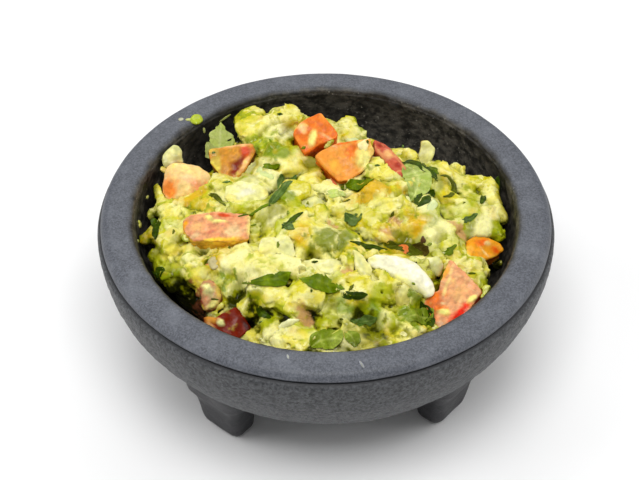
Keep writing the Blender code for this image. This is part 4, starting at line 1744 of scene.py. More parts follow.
TOMATOES: tuple[CutPiece, ...] = (
    CutPiece(
        "tomato_1", "tomato", (-0.1, 28.6, 54.6), 8.0, (27, -95, 40),
        ((-0.3, 6.7), (-4.6, 5.7), (-6.8, -1.9), (-2.1, -2.6), (3.8, -4.9), (5.3, -3.8), (6.1, 4.4)),
        Hue.FLAME, Hue.EMBER, (
            Patch(5.1, 1.8, 2.1, 1.2, -87, Hue.ORANGE),
            Patch(-1.8, 0.2, 3.4, 1.1, 34, Hue.CREAM_FILM, 0.22),
            Patch(1.8, -2.0, 2.5, 0.6, -75, Hue.PEACH, 0.1), Patch(-1.4, 4.7, 1.2, 1.9, -13, Hue.PEACH),
            Patch(-3.0, -3.5, 4.4, 0.8, -21, Hue.EMBER),
        ), film=0.12, veins=Hue.TANGERINE,
    ),
    CutPiece(
        "tomato_2", "tomato", (6.4, 18.5, 53.4), 8.0, (30, -86, 14),
        ((-3.5, -5.8), (-0.1, -6.5), (4.8, -4.5), (9.4, 0.0), (9.6, 4.4), (0.8, 5.7), (-4.9, 5.1),
         (-7.5, 3.6)),
        Hue.TANGERINE, Hue.EMBER, (
            Patch(3.6, 2.9, 1.7, 2.8, -37, Hue.FLAME), Patch(0.7, 5.4, 5.9, 0.5, -8, Hue.EMBER),
            Patch(-2.8, -0.6, 2.9, 1.8, -69, Hue.HONEY),
            Patch(-1.5, 5.1, 1.3, 0.5, -27, Hue.PEACH, 0.1),
            Patch(6.6, -0.8, 3.0, 5.8, -16, Hue.CREAM_FILM, 0.7),
        ), film=0.2, veins=Hue.HONEY,
    ),
    CutPiece(
        "tomato_3", "tomato", (19.4, 19.9, 52.2), 7.0, (12, -50, -56),
        ((-3.6, -2.2), (0.4, -2.2), (5.8, -2.8), (8.6, -1.6), (6.6, 1.6), (0.6, 2.6), (-4.1, 2.4),
         (-7.2, 0.4)),
        Hue.ROSE, Hue.BRICK, (
            Patch(-0.5, 0.3, 1.2, 1.8, 92, Hue.PEACH, 0.05), Patch(-4.1, 0.2, 1.3, 1.1, 7, Hue.BRICK),
            Patch(4.6, -0.1, 0.9, 1.1, 59, Hue.BRICK),
        ), lap=0.05, film=0.05, veins=Hue.PEACH,
    ),
    CutPiece(
        "tomato_4", "tomato", (-25.3, 24.7, 49.8), 8.5, (26, -100, 0),
        ((-6.0, 0.0), (-4.2, -3.7), (-1.1, -5.3), (1.4, -6.2), (4.4, -2.7), (7.7, 2.6), (6.8, 5.0),
         (-1.5, 4.9), (-6.5, 4.5)),
        Hue.SAND, Hue.CLARET, (
            Patch(-4.4, 0.8, 1.7, 4.1, 4, Hue.STRAW, 0.1), Patch(-1.5, 0.5, 1.8, 2.2, -6, Hue.SAND),
            Patch(4.6, 2.6, 2.4, 2.0, -6, Hue.RED), Patch(1.4, -1.4, 2.0, 3.6, -38, Hue.CLARET),
            Patch(4.2, -0.9, 0.8, 3.2, -38, Hue.PEACH, 0.06),
            Patch(1.4, 4.6, 6.4, 0.5, -2, Hue.PEACH, 0.05),
        ), lap=0.05, film=0.4, veins=Hue.HONEY,
    ),
    CutPiece(
        "tomato_5", "tomato", (-38.8, 18.6, 48.4), 8.5, (28, -84, -10),
        ((-7.4, 0.9), (-7.4, -3.4), (-5.2, -6.2), (-2.1, -5.8), (2.9, -3.8), (7.9, -2.2), (8.1, 0.4),
         (6.3, 3.5), (2.8, 5.6), (-2.6, 6.3), (-6.9, 4.7)),
        Hue.HONEY_PALE, Hue.EMBER, (
            Patch(-1.1, 4.0, 3.8, 1.6, -2, Hue.HONEY_PALE),
            Patch(0.5, 0.5, 2.3, 1.2, -13, Hue.PEACH_PALE), Patch(4.2, -1.4, 4.2, 2.6, -3, Hue.CORAL),
            Patch(-5.4, -2.6, 2.6, 3.6, -3, Hue.ORANGE),
        ), edge=0.9, dome=2.2, lap=0.05, film=0.3,
    ),
    CutPiece(
        "tomato_6", "tomato", (-31.1, -4.6, 51.4), 5.4, (14, -84, 3),
        ((-9.5, -0.7), (-7.5, -3.9), (0.7, -5.1), (8.4, -4.9), (9.5, 0.0), (9.4, 3.8), (-0.2, 5.1),
         (-7.2, 5.2), (-9.8, 3.1)),
        Hue.SALMON, Hue.AMBER_LIT, (
            Patch(-5.4, 0.6, 2.0, 2.0, -6, Hue.PEACH, 0.03),
            Patch(4.5, -1.8, 2.8, 2.3, -6, Hue.PEACH_PALE, 0.05),
            Patch(-1.7, -1.5, 2.0, 0.6, 13, Hue.CORAL_DEEP),
            Patch(-6.4, -2.4, 2.0, 1.0, 20, Hue.PEACH_PALE, 0.05),
            Patch(2.2, 3.5, 3.4, 0.6, -11, Hue.RED), Patch(-9.2, 1.3, 0.8, 3.3, -29, Hue.AMBER_GEL),
            Patch(-1.0, -5.0, 8.6, 1.2, 0, Hue.AMBER_LIT),
            Patch(-1.8, 2.6, 1.8, 0.9, -45, Hue.CREAM_FILM, 0.5),
            Patch(0.6, 1.6, 2.4, 0.5, -4, Hue.CREAM_FILM, 0.4),
            Patch(9.6, -2.0, 1.3, 4.6, -6, Hue.CREAM_FILM, 0.5),
        ), veins=Hue.CORAL_DEEP, crinkle=0.18, lap=0.05, film=0.35,
    ),
    CutPiece(
        "tomato_7", "tomato", (32.7, -31.9, 45.8), 8.0, (30, -128, -42),
        ((-6.0, 4.6), (-4.4, -0.4), (-6.6, -3.1), (-6.2, -5.1), (-1.2, -8.8), (3.2, -9.8), (5.4, -6.6),
         (6.7, -0.9), (6.9, 5.2), (-0.1, 7.6), (-6.4, 9.0)),
        Hue.SALMON, Hue.SCARLET, (
            Patch(-2.6, -4.4, 3.0, 4.6, 18, Hue.FLAME), Patch(-5.2, 5.0, 1.1, 2.3, 18, Hue.HONEY),
            Patch(0.8, 2.2, 2.5, 2.9, 28, Hue.PEACH, 0.03), Patch(4.6, -3.8, 4.6, 1.3, 78, Hue.SCARLET),
            Patch(-3.0, 2.5, 0.6, 4.6, 14, Hue.HONEY_PALE, 0.08),
            Patch(-1.0, -3.0, 0.9, 0.5, 14, Hue.PEACH_PALE, 0.05),
            Patch(0.2, -5.3, 1.8, 0.8, 24, Hue.CREAM_FILM, 0.3),
            Patch(5.6, 2.1, 1.6, 0.8, 70, Hue.CREAM_FILM, 0.3),
        ), crinkle=0.14, lap=0.1, film=0.3,
    ),
    # This piece lies deep in the rim's shadow: its dark wine and claret reds are painted shade over the
    # tomato's own red.
    CutPiece(
        "tomato_8", "tomato", (-30.2, -30.9, 40.6), 8.0, (30, -70, -30),
        ((-3.7, -1.3), (-6.7, -2.8), (-5.4, -4.0), (1.2, -4.0), (5.0, -2.9), (6.4, 1.6), (2.6, 3.9),
         (-0.4, 4.7)),
        Hue.WINE_IN_PAINTED_SHADE, Hue.CLARET_IN_PAINTED_SHADE, (
            Patch(4.9, 1.3, 0.9, 2.8, 61, Hue.CLARET_IN_PAINTED_SHADE), Patch(-3.6, -1.6, 1.9, 0.7, 21, Hue.BRICK),
            Patch(-3.7, -4.0, 2.4, 0.8, 0, Hue.PEACH, 0.15),
            Patch(-4.4, -2.4, 2.0, 1.2, 20, Hue.SAND, 0.2),
            Patch(-1.8, -1.6, 1.2, 1.1, 32, Hue.PEARL, 0.45),
        ), film=0.15, veins=Hue.CLARET,
    ),
    CutPiece(
        "tomato_9", "tomato", (43.9, -10.8, 43.2), 6.0, (22, -60, 2),
        ((-6.6, -3.0), (-3.9, -3.0), (-1.1, -4.2), (3.0, -2.8), (5.7, -0.5), (4.5, 1.7), (1.1, 3.6),
         (-2.4, 4.1), (-5.3, 2.1)),
        Hue.AMBER_GEL, Hue.VERMILION, (
            Patch(2.9, -0.9, 1.6, 1.5, -21, Hue.VERMILION),
            Patch(-4.8, -1.1, 0.9, 1.7, -21, Hue.HONEY, 0.05),
            Patch(-0.8, 1.6, 2.6, 1.2, 10, Hue.EMBER),
            Patch(-0.5, -1.9, 1.7, 0.3, -56, Hue.HONEY_PALE, 0.1),
            Patch(0.8, 1.3, 1.1, 0.9, 2, Hue.HONEY_PALE, 0.4),
        ), film=0.5, veins=Hue.HONEY,
    ),
    CutPiece(
        "tomato_10", "tomato", (-34.8, -20.1, 43.4), 6.0, (28, -110, 20),
        ((-3.2, -2.2), (-3.5, -5.7), (-0.5, -6.7), (2.7, -4.8), (4.0, -0.9), (2.3, 2.1), (-0.6, 2.6)),
        Hue.MUD, Hue.CLARET, (
            Patch(0.4, -1.0, 1.8, 2.6, 20, Hue.PEARL, 0.5), Patch(-2.0, 0.4, 1.2, 1.4, 40, Hue.ROSE),
            Patch(-0.6, -5.2, 2.2, 1.0, 10, Hue.CREAM_FILM, 0.5),
            Patch(2.8, -2.6, 1.4, 3.0, 0, Hue.STRAW, 0.4), Patch(-3.2, -2.4, 0.8, 3.4, 0, Hue.CLARET),
        ), veins=Hue.CORAL_DEEP, edge=0.9, crinkle=0.2, lap=1.5, film=0.5,
    ),
)
ONIONS: tuple[CutPiece, ...] = (
    CutPiece(
        "onion_1", "onion", (18.1, -26.4, 51.4), 4.2, (20, -70, -25),
        ((-9.4, -1.3), (-6.3, -1.8), (-1.3, -2.5), (3.2, -3.4), (7.0, -3.3), (10.4, -3.0), (10.7, -0.5),
         (7.5, 2.7), (3.2, 4.8), (-2.2, 4.9), (-8.0, 2.8), (-10.4, 0.6)),
        Hue.IVORY, Hue.PEARL, (
            Patch(3.2, 1.4, 7.6, 1.6, -13, Hue.SHEEN), Patch(-8.9, 0.3, 1.4, 1.2, 26, Hue.PEARL),
            Patch(3.0, -2.8, 7.0, 0.8, -4, Hue.PEARL),
        ), veins=Hue.IVORY, edge=0.8, dome=1.6, lap=0.05, film=0.15,
    ),
    CutPiece(
        "onion_2", "onion", (18.5, -33.3, 48.2), 3.0, (48, -84, 6),
        ((-2.6, 1.3), (-2.0, -3.6), (-0.2, -5.4), (1.8, -1.0), (2.3, 3.2), (0.5, 5.6), (-2.2, 5.2)),
        Hue.GLASS, Hue.STRAW, (
            Patch(0.0, 3.4, 1.6, 1.8, 0, Hue.WAN), Patch(-0.4, -2.8, 1.6, 1.8, 0, Hue.STRAW),
        ), veins=Hue.GLASS, edge=0.6, dome=0.8, crinkle=0.14, lap=1.2, film=0.8,
    ),
    CutPiece(
        "onion_3", "onion", (8.0, -25.4, 53.2), 2.8, (30, -70, -58),
        ((-1.3, -2.1), (4.0, -2.6), (8.4, -1.8), (9.6, 0.4), (7.0, 2.0), (0.4, 2.4), (-5.2, 1.9),
         (-6.8, 0.4)),
        Hue.WAN, Hue.CLEAR, (Patch(-2.0, 0.0, 3.0, 0.9, -6, Hue.CLEAR),), veins=Hue.IVORY, edge=0.6,
        dome=0.5, lap=0.1, film=0.2,
    ),
    CutPiece(
        "onion_4", "onion", (-3.6, -22.6, 52.2), 2.8, (24, -90, 2),
        ((-5.8, -1.8), (0.1, -2.6), (6.7, -3.0), (8.2, -0.2), (7.1, 1.6), (0.3, 2.6), (-5.9, 2.4)),
        Hue.PEARL, Hue.WAN, (
            Patch(-4.6, 0.0, 2.4, 2.0, 0, Hue.CREAM_FILM, 0.3),
            Patch(5.6, -1.2, 2.0, 1.2, 0, Hue.CREAM_FILM, 0.3),
        ), veins=Hue.IVORY, edge=0.7, dome=0.6, lap=0.4, film=0.4,
    ),
    CutPiece(
        "onion_5", "onion", (-21.4, 8.7, 52.6), 4.0, (26, -90, -4),
        ((-7.1, -1.2), (-4.8, -3.6), (0.3, -4.2), (5.5, -2.3), (6.0, 0.8), (2.6, 2.9), (-2.6, 3.8),
         (-6.8, 2.5)),
        Hue.PEARL, Hue.WAN, (
            Patch(-0.5, 0.2, 2.8, 1.6, 10, Hue.IVORY),
            Patch(4.8, 0.0, 1.6, 2.2, 0, Hue.CREAM_FILM, 0.4),
            Patch(-5.4, -1.4, 1.6, 1.6, 0, Hue.CREAM_FILM, 0.4),
            Patch(0.0, -3.4, 4.0, 0.8, 0, Hue.CREAM_FILM, 0.3),
        ), veins=Hue.IVORY, edge=0.6, dome=0.8, lap=0.7, film=0.5,
    ),
    CutPiece(
        "onion_6", "onion", (-42.5, 28.1, 51.2), 2.4, (50, -64, 6),
        ((-2.0, 2.5), (-3.2, 0.4), (-2.7, -2.8), (1.0, -1.6), (3.2, -1.2), (2.6, 1.6), (1.7, 4.0),
         (-0.1, 4.4)),
        Hue.CLEAR, Hue.WAN, (
            Patch(-1.2, 1.4, 1.2, 2.2, 10, Hue.PEARL), Patch(1.6, 0.0, 1.0, 2.0, 0, Hue.WAN),
        ), veins=Hue.IVORY, edge=0.6, dome=0.6, lap=0.1, film=0.05,
    ),
    CutPiece(
        "onion_7", "onion", (31.9, 25.3, 48.6), 2.2, (60, -84, -14),
        ((-2.2, -0.6), (0.0, -4.4), (2.0, -2.6), (1.9, 3.2), (-0.7, 5.2), (-2.6, 4.6)),
        Hue.WAN, Hue.STRAW, (Patch(0.9, 1.0, 0.6, 3.6, 0, Hue.PEARL),), veins=Hue.IVORY, edge=0.4,
        dome=0.4, lap=0.05, film=0.05,
    ),
    CutPiece(
        "onion_8", "onion", (-14.4, -13.9, 52.2), 5.0, (24, -76, -10),
        ((-5.8, -2.5), (-3.3, -4.8), (1.0, -3.9), (5.3, -3.4), (4.2, 0.5), (2.4, 3.4), (-1.6, 2.2),
         (-5.2, 1.2)),
        Hue.PEARL, Hue.WAN, (
            Patch(2.2, -0.8, 1.6, 2.8, 20, Hue.CLEAR), Patch(-2.6, -0.6, 2.0, 2.2, 0, Hue.WAN),
            Patch(-4.4, -2.6, 1.6, 1.2, 0, Hue.CREAM_FILM, 0.3),
        ), veins=Hue.IVORY, edge=0.4, dome=0.2, lap=0.8, film=0.6,
    ),
    CutPiece(
        "onion_9", "onion", (28.4, -21.7, 49.4), 2.4, (46, -110, -16),
        ((-2.8, -0.3), (-1.0, -1.8), (1.4, -2.9), (2.5, 0.3), (0.2, 2.8), (-2.5, 2.2)),
        Hue.CLEAR, Hue.WAN, (), veins=Hue.IVORY, edge=0.5, dome=0.4, lap=0.4,
    ),
    CutPiece(
        "onion_10", "onion", (-3.5, 2.2, 53.4), 3.0, (20, -90, 12),
        ((-4.1, -0.8), (-1.0, -2.2), (3.1, -2.1), (3.5, 0.0), (-0.2, 2.2), (-3.4, 2.4)),
        Hue.CLEAR, Hue.WAN, (Patch(0.0, 0.6, 2.0, 0.8, 0, Hue.PEARL),), veins=Hue.IVORY, edge=0.6,
        dome=0.8, lap=0.7,
    ),
)


# ---- herbs and small bits -----------------------------------------------------------------------
class LeafTone(Enum):
    """The greens of the herbs: upper colour and vein colour."""

    DARK = (srgb(46, 66, 2), srgb(82, 104, 14))
    FRESH = (srgb(90, 114, 0), srgb(136, 154, 22))
    MID = (srgb(110, 128, 20), srgb(182, 192, 90))
    BLUE = (srgb(72, 98, 34), srgb(130, 150, 76))
    PALE = (srgb(184, 200, 98), srgb(214, 222, 150))
    OLIVE = (srgb(84, 90, 12), srgb(118, 126, 30))
    MILKY = (srgb(146, 164, 68), srgb(210, 216, 138))
    BROWN = (srgb(70, 58, 14), srgb(110, 100, 40))


FLECK_TONES = (LeafTone.DARK, LeafTone.BLUE, LeafTone.MID, LeafTone.FRESH, LeafTone.OLIVE)


class Lie(Enum):
    """How a leaf lies: along the mash, or upright and facing the front."""

    DRAPED = 0
    STANDING = 1


@dataclass(frozen=True)
class Leaf:
    """One torn leaf or stem along a spine.

    The spine's rows are place and half width in mm: on plan for a draped leaf, sideways and up
    for a standing one, which stands at its own depth. Teeth notch the edge, fold lifts the edges,
    the spine's start is sunk into the mash, and tuck pushes the far edge under it, in mm.
    """

    spine: tuple
    tone: LeafTone
    teeth: float = 0.12
    fold: float = 0.35
    sink: float = 0.5
    thick: float = 0.2
    lie: Lie = Lie.DRAPED
    depth: float = 0.0
    tuck: float = 0.0


LEAVES: tuple[Leaf, ...] = (
    Leaf(((-25.6, -23.5, 0.2), (-22.6, -24.5, 1.1), (-19.5, -25.1, 2.5), (-16.2, -24.7, 3.4),
         (-13.6, -23.6, 2.4), (-11.6, -22.9, 0.6)), LeafTone.FRESH, 0.10, 0.5, tuck=1.6),
    Leaf(((-9.8, -24.8, 0.3), (-7.8, -25.6, 2.0), (-5.0, -26.4, 3.6), (-2.2, -27.4, 3.6),
         (0.6, -29.0, 2.6), (2.4, -30.4, 0.8)), LeafTone.FRESH, 0.14, 0.5, tuck=1.6),
    Leaf(((0.0, -31.2, 0.4), (3.0, -32.8, 1.3), (6.0, -33.4, 1.3), (8.4, -33.2, 0.4)), LeafTone.DARK,
         0.2, 0.2, 0.9),
    Leaf(((24.6, 20.6, 0.8), (26.6, 17.4, 3.4), (28.0, 13.4, 4.4), (27.4, 9.4, 3.6), (26.0, 5.6, 1.8),
         (24.4, 3.0, 0.3)), LeafTone.MILKY, 0.10, 0.3, 0.2),
    Leaf(((23.4, 20.0, 0.4), (26.6, 21.4, 1.1), (29.8, 18.8, 1.2), (32.6, 13.6, 1.0),
         (33.2, 10.6, 0.4)), LeafTone.DARK, 0.3, 0.1, 0.2),
    Leaf(((25.2, -0.6, 0.6), (26.8, 1.8, 2.0), (28.6, 4.2, 2.5), (30.6, 6.4, 1.8), (31.8, 7.8, 0.4)),
         LeafTone.DARK, 0.24, 0.3),
    Leaf(((51.2, 41.0, 0.5), (51.4, 43.6, 1.1), (51.8, 46.4, 1.5), (52.4, 49.2, 1.3)), LeafTone.DARK,
         0.1, 0.2, 0.0, lie=Lie.STANDING, depth=9.0),
    Leaf(((-7.0, 17.8, 0.5), (-9.2, 13.9, 1.5), (-12.0, 9.3, 1.6), (-14.6, 5.6, 1.0),
         (-15.8, 3.2, 0.3)), LeafTone.BLUE, 0.05, 0.4, 0.0),
    Leaf(((-11.0, 17.6, 0.6), (-11.7, 14.5, 1.1), (-12.6, 11.2, 0.3)), LeafTone.BLUE, 0.1, 0.3, 0.2),
    Leaf(((-13.8, 4.6, 0.3), (-17.6, 3.6, 0.6), (-21.5, 1.6, 0.45), (-24.8, 0.6, 0.15)), LeafTone.FRESH,
         0.1, 0.1, 0.0, 0.3),
    Leaf(((-33.4, 12.2, 0.2), (-31.3, 11.0, 0.9), (-29.7, 8.8, 0.8), (-28.0, 5.0, 0.3)), LeafTone.OLIVE,
         0.15, 0.2),
    Leaf(((-8.4, -48.6, 1.2), (-6.4, -47.0, 3.0), (-3.8, -46.4, 3.8), (-1.4, -46.8, 3.6),
         (0.2, -47.6, 2.0)), LeafTone.MID, 0.05, 0.5, 0.3),
    Leaf(((1.2, -44.6, 0.6), (2.6, -46.6, 2.0), (3.4, -48.8, 1.7), (3.2, -50.4, 0.4)), LeafTone.MID,
         0.1, 0.4),
    Leaf(((2.6, -40.0, 0.5), (5.6, -41.0, 1.6), (8.2, -40.6, 1.4), (10.4, -40.2, 0.5)), LeafTone.BLUE,
         0.35, 0.2),
    Leaf(((17.2, -40.6, 0.8), (19.8, -40.4, 2.1), (22.4, -39.8, 3.1), (24.4, -39.8, 2.6),
         (25.6, -40.8, 0.8)), LeafTone.MID, 0.2, 0.3),
    Leaf(((23.0, -34.6, 0.3), (23.8, -37.4, 1.5), (24.6, -40.6, 1.6), (25.2, -43.6, 0.8)),
         LeafTone.DARK, 0.2, 0.3, 0.1),
    Leaf(((5.4, -0.2, 0.5), (6.4, -2.0, 1.7), (7.6, -3.3, 1.8), (9.4, -3.2, 0.9), (10.0, -1.2, 0.3)),
         LeafTone.BLUE, 0.5, 0.4, 0.2),
    Leaf(((5.6, -12.4, 0.2), (9.4, -13.2, 1.0), (13.0, -14.5, 1.0), (16.0, -14.8, 0.3)), LeafTone.DARK,
         0.3, 0.2, 0.2),
    Leaf(((11.8, -13.0, 0.4), (15.6, -13.2, 1.0), (20.0, -14.0, 1.7), (23.6, -15.6, 2.3),
         (25.6, -17.4, 1.2)), LeafTone.OLIVE, 0.25, 0.1, 0.8),
    Leaf(((-6.4, -0.3, 0.4), (-8.8, -1.8, 0.7), (-11.0, -4.2, 0.8), (-12.9, -6.2, 0.5)), LeafTone.DARK,
         0.2, 0.1, 0.1),
    Leaf(((-12.8, -3.8, 0.6), (-11.0, -5.4, 1.3), (-9.4, -6.7, 0.5)), LeafTone.BLUE, 0.3, 0.2, 0.4),
    Leaf(((5.2, 11.4, 0.5), (8.0, 11.4, 1.9), (11.0, 11.4, 2.1), (13.6, 11.8, 1.3), (15.3, 12.0, 0.3)),
         LeafTone.FRESH, 0.2, 0.9, 0.5),
    Leaf(((34.2, 13.1, 0.5), (36.6, 13.0, 0.7), (38.1, 10.6, 0.8), (38.0, 7.4, 0.8), (36.2, 5.0, 0.6),
         (34.2, 5.0, 0.2)), LeafTone.OLIVE, 0.1, 0.1, 0.2, 0.4),
    Leaf(((46.4, 6.6, 0.5), (46.0, 4.4, 1.0), (45.0, 2.4, 0.4)), LeafTone.DARK, 0.1, 0.3),
    Leaf(((37.8, -5.8, 0.4), (39.6, -5.0, 0.9), (41.4, -4.0, 1.1), (43.2, -2.6, 0.5)), LeafTone.BLUE,
         0.4, 0.2),
    Leaf(((-49.6, 6.2, 0.5), (-48.7, 3.0, 1.5), (-48.3, -0.6, 1.3), (-48.8, -4.4, 0.4)), LeafTone.DARK,
         0.3, 0.3),
    Leaf(((-28.4, 43.0, 2.4), (-28.8, 45.6, 3.6), (-28.4, 48.4, 3.2), (-28.0, 51.2, 2.2),
         (-27.8, 53.0, 0.8)), LeafTone.PALE, 0.45, 0.4, 0.0, lie=Lie.STANDING, depth=34.5),
    Leaf(((-29.4, 43.6, 1.2), (-31.2, 46.4, 1.8), (-32.4, 48.8, 0.8)), LeafTone.PALE, 0.4, 0.3, 0.0,
         lie=Lie.STANDING, depth=34.0),
    Leaf(((-26.8, 44.2, 1.2), (-25.2, 47.0, 1.6), (-24.4, 49.8, 0.6)), LeafTone.PALE, 0.4, 0.3, 0.0,
         lie=Lie.STANDING, depth=34.2),
    Leaf(((-49.9, -14.6, 0.6), (-48.4, -16.0, 1.6), (-48.0, -18.4, 0.6)), LeafTone.DARK, 0.3, 0.2),
    Leaf(((31.0, -17.2, 0.6), (33.0, -17.1, 1.1), (35.4, -14.6, 0.5)), LeafTone.FRESH, 0.3, 0.3),
    Leaf(((0.4, 7.4, 0.6), (3.4, 7.8, 2.0), (6.4, 7.2, 1.0)), LeafTone.PALE, 0.3, 0.1, 0.5),
    Leaf(((22.6, -13.4, 0.6), (25.2, -14.0, 1.5), (26.4, -16.2, 1.4), (26.0, -18.4, 0.5)),
         LeafTone.BROWN, 0.3, 0.1, 0.3),
    Leaf(((-17.0, 21.4, 0.5), (-14.2, 20.6, 1.2), (-11.4, 21.6, 0.4)), LeafTone.FRESH, 0.2, 0.2, 0.5),
    Leaf(((31.0, 19.0, 0.4), (33.2, 16.6, 0.9), (34.0, 14.2, 0.3)), LeafTone.FRESH, 0.2, 0.2, 0.4),
    Leaf(((-22.0, -32.0, 0.4), (-20.6, -35.0, 1.2), (-18.4, -37.0, 0.4)), LeafTone.DARK, 0.2, 0.2, 0.5),
)


@dataclass
class Herbs:
    """Torn coriander leaves and stems, laid limp over the mash.

    The ground is looked for from look_from out; a spot with nothing under it sinks by missed, in mm.
    """

    along: int = 27
    across: int = 10
    flecks: int = 34
    look_from: float = 16.0
    missed: float = 2.0

    def sheet(self, leaf: Leaf) -> Piece:
        """A flat leaf along its spine, with its edge notched and its veins tinted.

        Args:
            leaf: Its spine, tone and teeth.

        Returns:
            The leaf, lying flat.
        """
        counts = {"x_subdivisions": self.along, "y_subdivisions": self.across}
        made = primitive("grid", "leaf", size=2.0, **counts)
        points = points_of(made)
        u, v = points[:, 0].copy(), points[:, 1].copy()
        rows = np.array(leaf.spine)
        at = np.linspace(0.0, 1.0, len(rows))
        fine = np.linspace(0.0, 1.0, 81)
        table = np.stack([np.interp(fine, at, column) for column in rows.T], 1)
        for _ in range(10):
            table[1:-1] = 0.25 * table[:-2] + 0.5 * table[1:-1] + 0.25 * table[2:]
        share = 0.5 * (u + 1.0)
        x, y, half = (np.interp(share, fine, column) for column in table.T)
        slope = np.gradient(table[:, :2], axis=0)
        slope /= np.maximum(np.linalg.norm(slope, axis=1), 1e-9)[:, None]
        tx, ty = (np.interp(share, fine, column) for column in slope.T)
        length = np.linalg.norm(np.diff(table[:, :2], axis=0), axis=1).sum()
        grain = Grain(31 + int(abs(rows[0, 0]) * 10))
        edge = np.stack([share * length, np.sign(v), np.zeros(len(v))], 1)
        notch = 1.0 + leaf.teeth * (1.3 * grain.at(edge, 1.3) + 0.8 * grain.at(edge + 5.0, 0.6))
        ends = held(1.0 - np.abs(u)) ** 0.4
        aside = v * half * np.where(np.abs(v) > 0.5, notch, 1.0) * held(ends * 1.6)
        move_points(made, np.stack([x - ty * aside, y + tx * aside, np.zeros(len(u))], 1) * MM)
        upper, vein = (np.array(c[:3]) for c in leaf.tone.value)
        ribs = np.abs(np.mod(share * length / 1.9 - np.abs(v) * 0.8, 1.0) - 0.5)
        line = held(1.0 - np.abs(v) / 0.10) + 0.7 * held(1.0 - ribs / 0.12)
        place = np.stack([x, y, np.zeros(len(x))], 1)
        mottle = grain.swells(place, 1.4, 3)
        weight = held(line * 0.45 + 0.30 * mottle + 0.05)
        cloud = (1.0 + 0.35 * grain.swells(place + 9.0, 2.4, 2))[:, None]
        colours = blend(upper, vein, weight) * cloud
        paint(made, "tint", colours)
        return made

    def drape(self, made: Piece, leaf: Leaf, ground: BVHTree) -> None:
        """Lays a leaf over the mash, smoothing out what is too small for it to follow.

        Args:
            made: The flat leaf.
            leaf: Its form.
            ground: What it lies on.
        """
        base = points_of(made)
        base[:, 2] = 50.0 * MM
        rise = np.empty(len(base))
        for index, point in enumerate(base):
            start = Vector(point) + SERVING_SIDE * self.look_from * MM
            hit, _, _, far = ground.ray_cast(start, -SERVING_SIDE)
            rise[index] = self.look_from * MM - far if hit is not None else -self.missed * MM
        rows, columns = self.across + 1, self.along + 1
        lie = rise.reshape(rows, columns)
        close = lie.copy()
        for _ in range(4):
            lie = self._evened(lie)
        lie = self._evened(np.maximum(lie, close + 0.05 * MM))
        v = np.linspace(-1.0, 1.0, rows)[:, None]
        u = np.linspace(0.0, 1.0, columns)[None, :]
        waves = Grain(57).at(base, 3.6 * MM).reshape(rows, columns)
        lift = 0.16 + leaf.fold * (0.7 * v**2 + 0.4 * waves)
        lift = lift - leaf.sink * held(1.0 - u / 0.35)
        lift = lift - 0.9 * held(waves - 0.25) * np.abs(v)
        lift = lift - leaf.tuck * held(1.8 * (v - 0.45) + 0.6 * waves)
        move_points(made, base + np.array(SERVING_SIDE) * (lie + lift * MM).reshape(-1, 1))

    @staticmethod
    def _evened(lie: Array) -> Array:
        """Averages each value of a grid with its four neighbours.

        Args:
            lie: The grid.

        Returns:
            The averaged grid.
        """
        padded = np.pad(lie, 1, mode="edge")
        around = padded[:-2, 1:-1] + padded[2:, 1:-1] + padded[1:-1, :-2] + padded[1:-1, 2:]
        return (around + 2 * lie) / 6.0

    @staticmethod
    def stand(made: Piece, leaf: Leaf) -> None:
        """Stands a leaf up, facing the front.

        Args:
            made: The flat leaf.
            leaf: Its form.
        """
        flat = points_of(made)
        wave = Grain(57).at(flat, 3.0 * MM) * leaf.fold * MM
        lean = 0.7 * (flat[:, 1] - flat[:, 1].min())
        move_points(made, np.stack([flat[:, 0], leaf.depth * MM + lean + wave, flat[:, 1]], 1))

    def build(self, ground: BVHTree) -> Piece:
        """Every leaf, stem and fleck, as one piece.

        Args:
            ground: The surface that they lie on.

        Returns:
            The joined herbs.
        """
        rng = random.Random(19)
        small = Herbs(8, 4, 0)
        made = [self.lay(leaf, ground, True) for leaf in LEAVES]
        for k in range(self.flecks):
            out, turn = 45.0 * math.sqrt((k + 0.5) / self.flecks), k * GOLDEN_TURN + 0.4
            x = out * math.cos(turn) + rng.uniform(-4, 4)
            y = out * math.sin(turn) + rng.uniform(-4, 4)
            heading, long = rng.uniform(0.0, math.tau), rng.uniform(0.5, 1.3)
            dx, dy = long * math.cos(heading), long * math.sin(heading)
            wide = rng.uniform(0.25, 0.55)
            spine = ((x - dx, y - dy, 0.1), (x, y, wide), (x + dx, y + dy, 0.1))
            tone = rng.choice(FLECK_TONES)
            made.append(small.lay(Leaf(spine, tone, 0.5, 0.1, 0.2), ground, False))
        herbs = join(made, "coriander")
        with editing(herbs):
            bpy.ops.mesh.normals_make_consistent(inside=False)
        shade_smooth(herbs)
        return herbs

    def lay(self, leaf: Leaf, ground: BVHTree, fine: bool) -> Piece:
        """One leaf in its place, given its thickness.

        Args:
            leaf: What is laid.
            ground: What it lies on.
            fine: Whether its mesh is made finer.

        Returns:
            The leaf.
        """
        shape = self.sheet(leaf)
        if leaf.lie is Lie.STANDING:
            self.stand(shape, leaf)
        else:
            self.drape(shape, leaf, ground)
        apply_modifier(shape, "SOLIDIFY", thickness=leaf.thick * MM, offset=-0.4)
        if fine:
            apply_modifier(shape, "SUBSURF", levels=1, render_levels=1)
        return shape


@dataclass(frozen=True)
class Bit:
    """A small scrap lying on the mash or the bowl: place, three sizes in mm, heading and colour."""

    x: float
    y: float
    z: float
    size: tuple
    heading: float
    colour: tuple


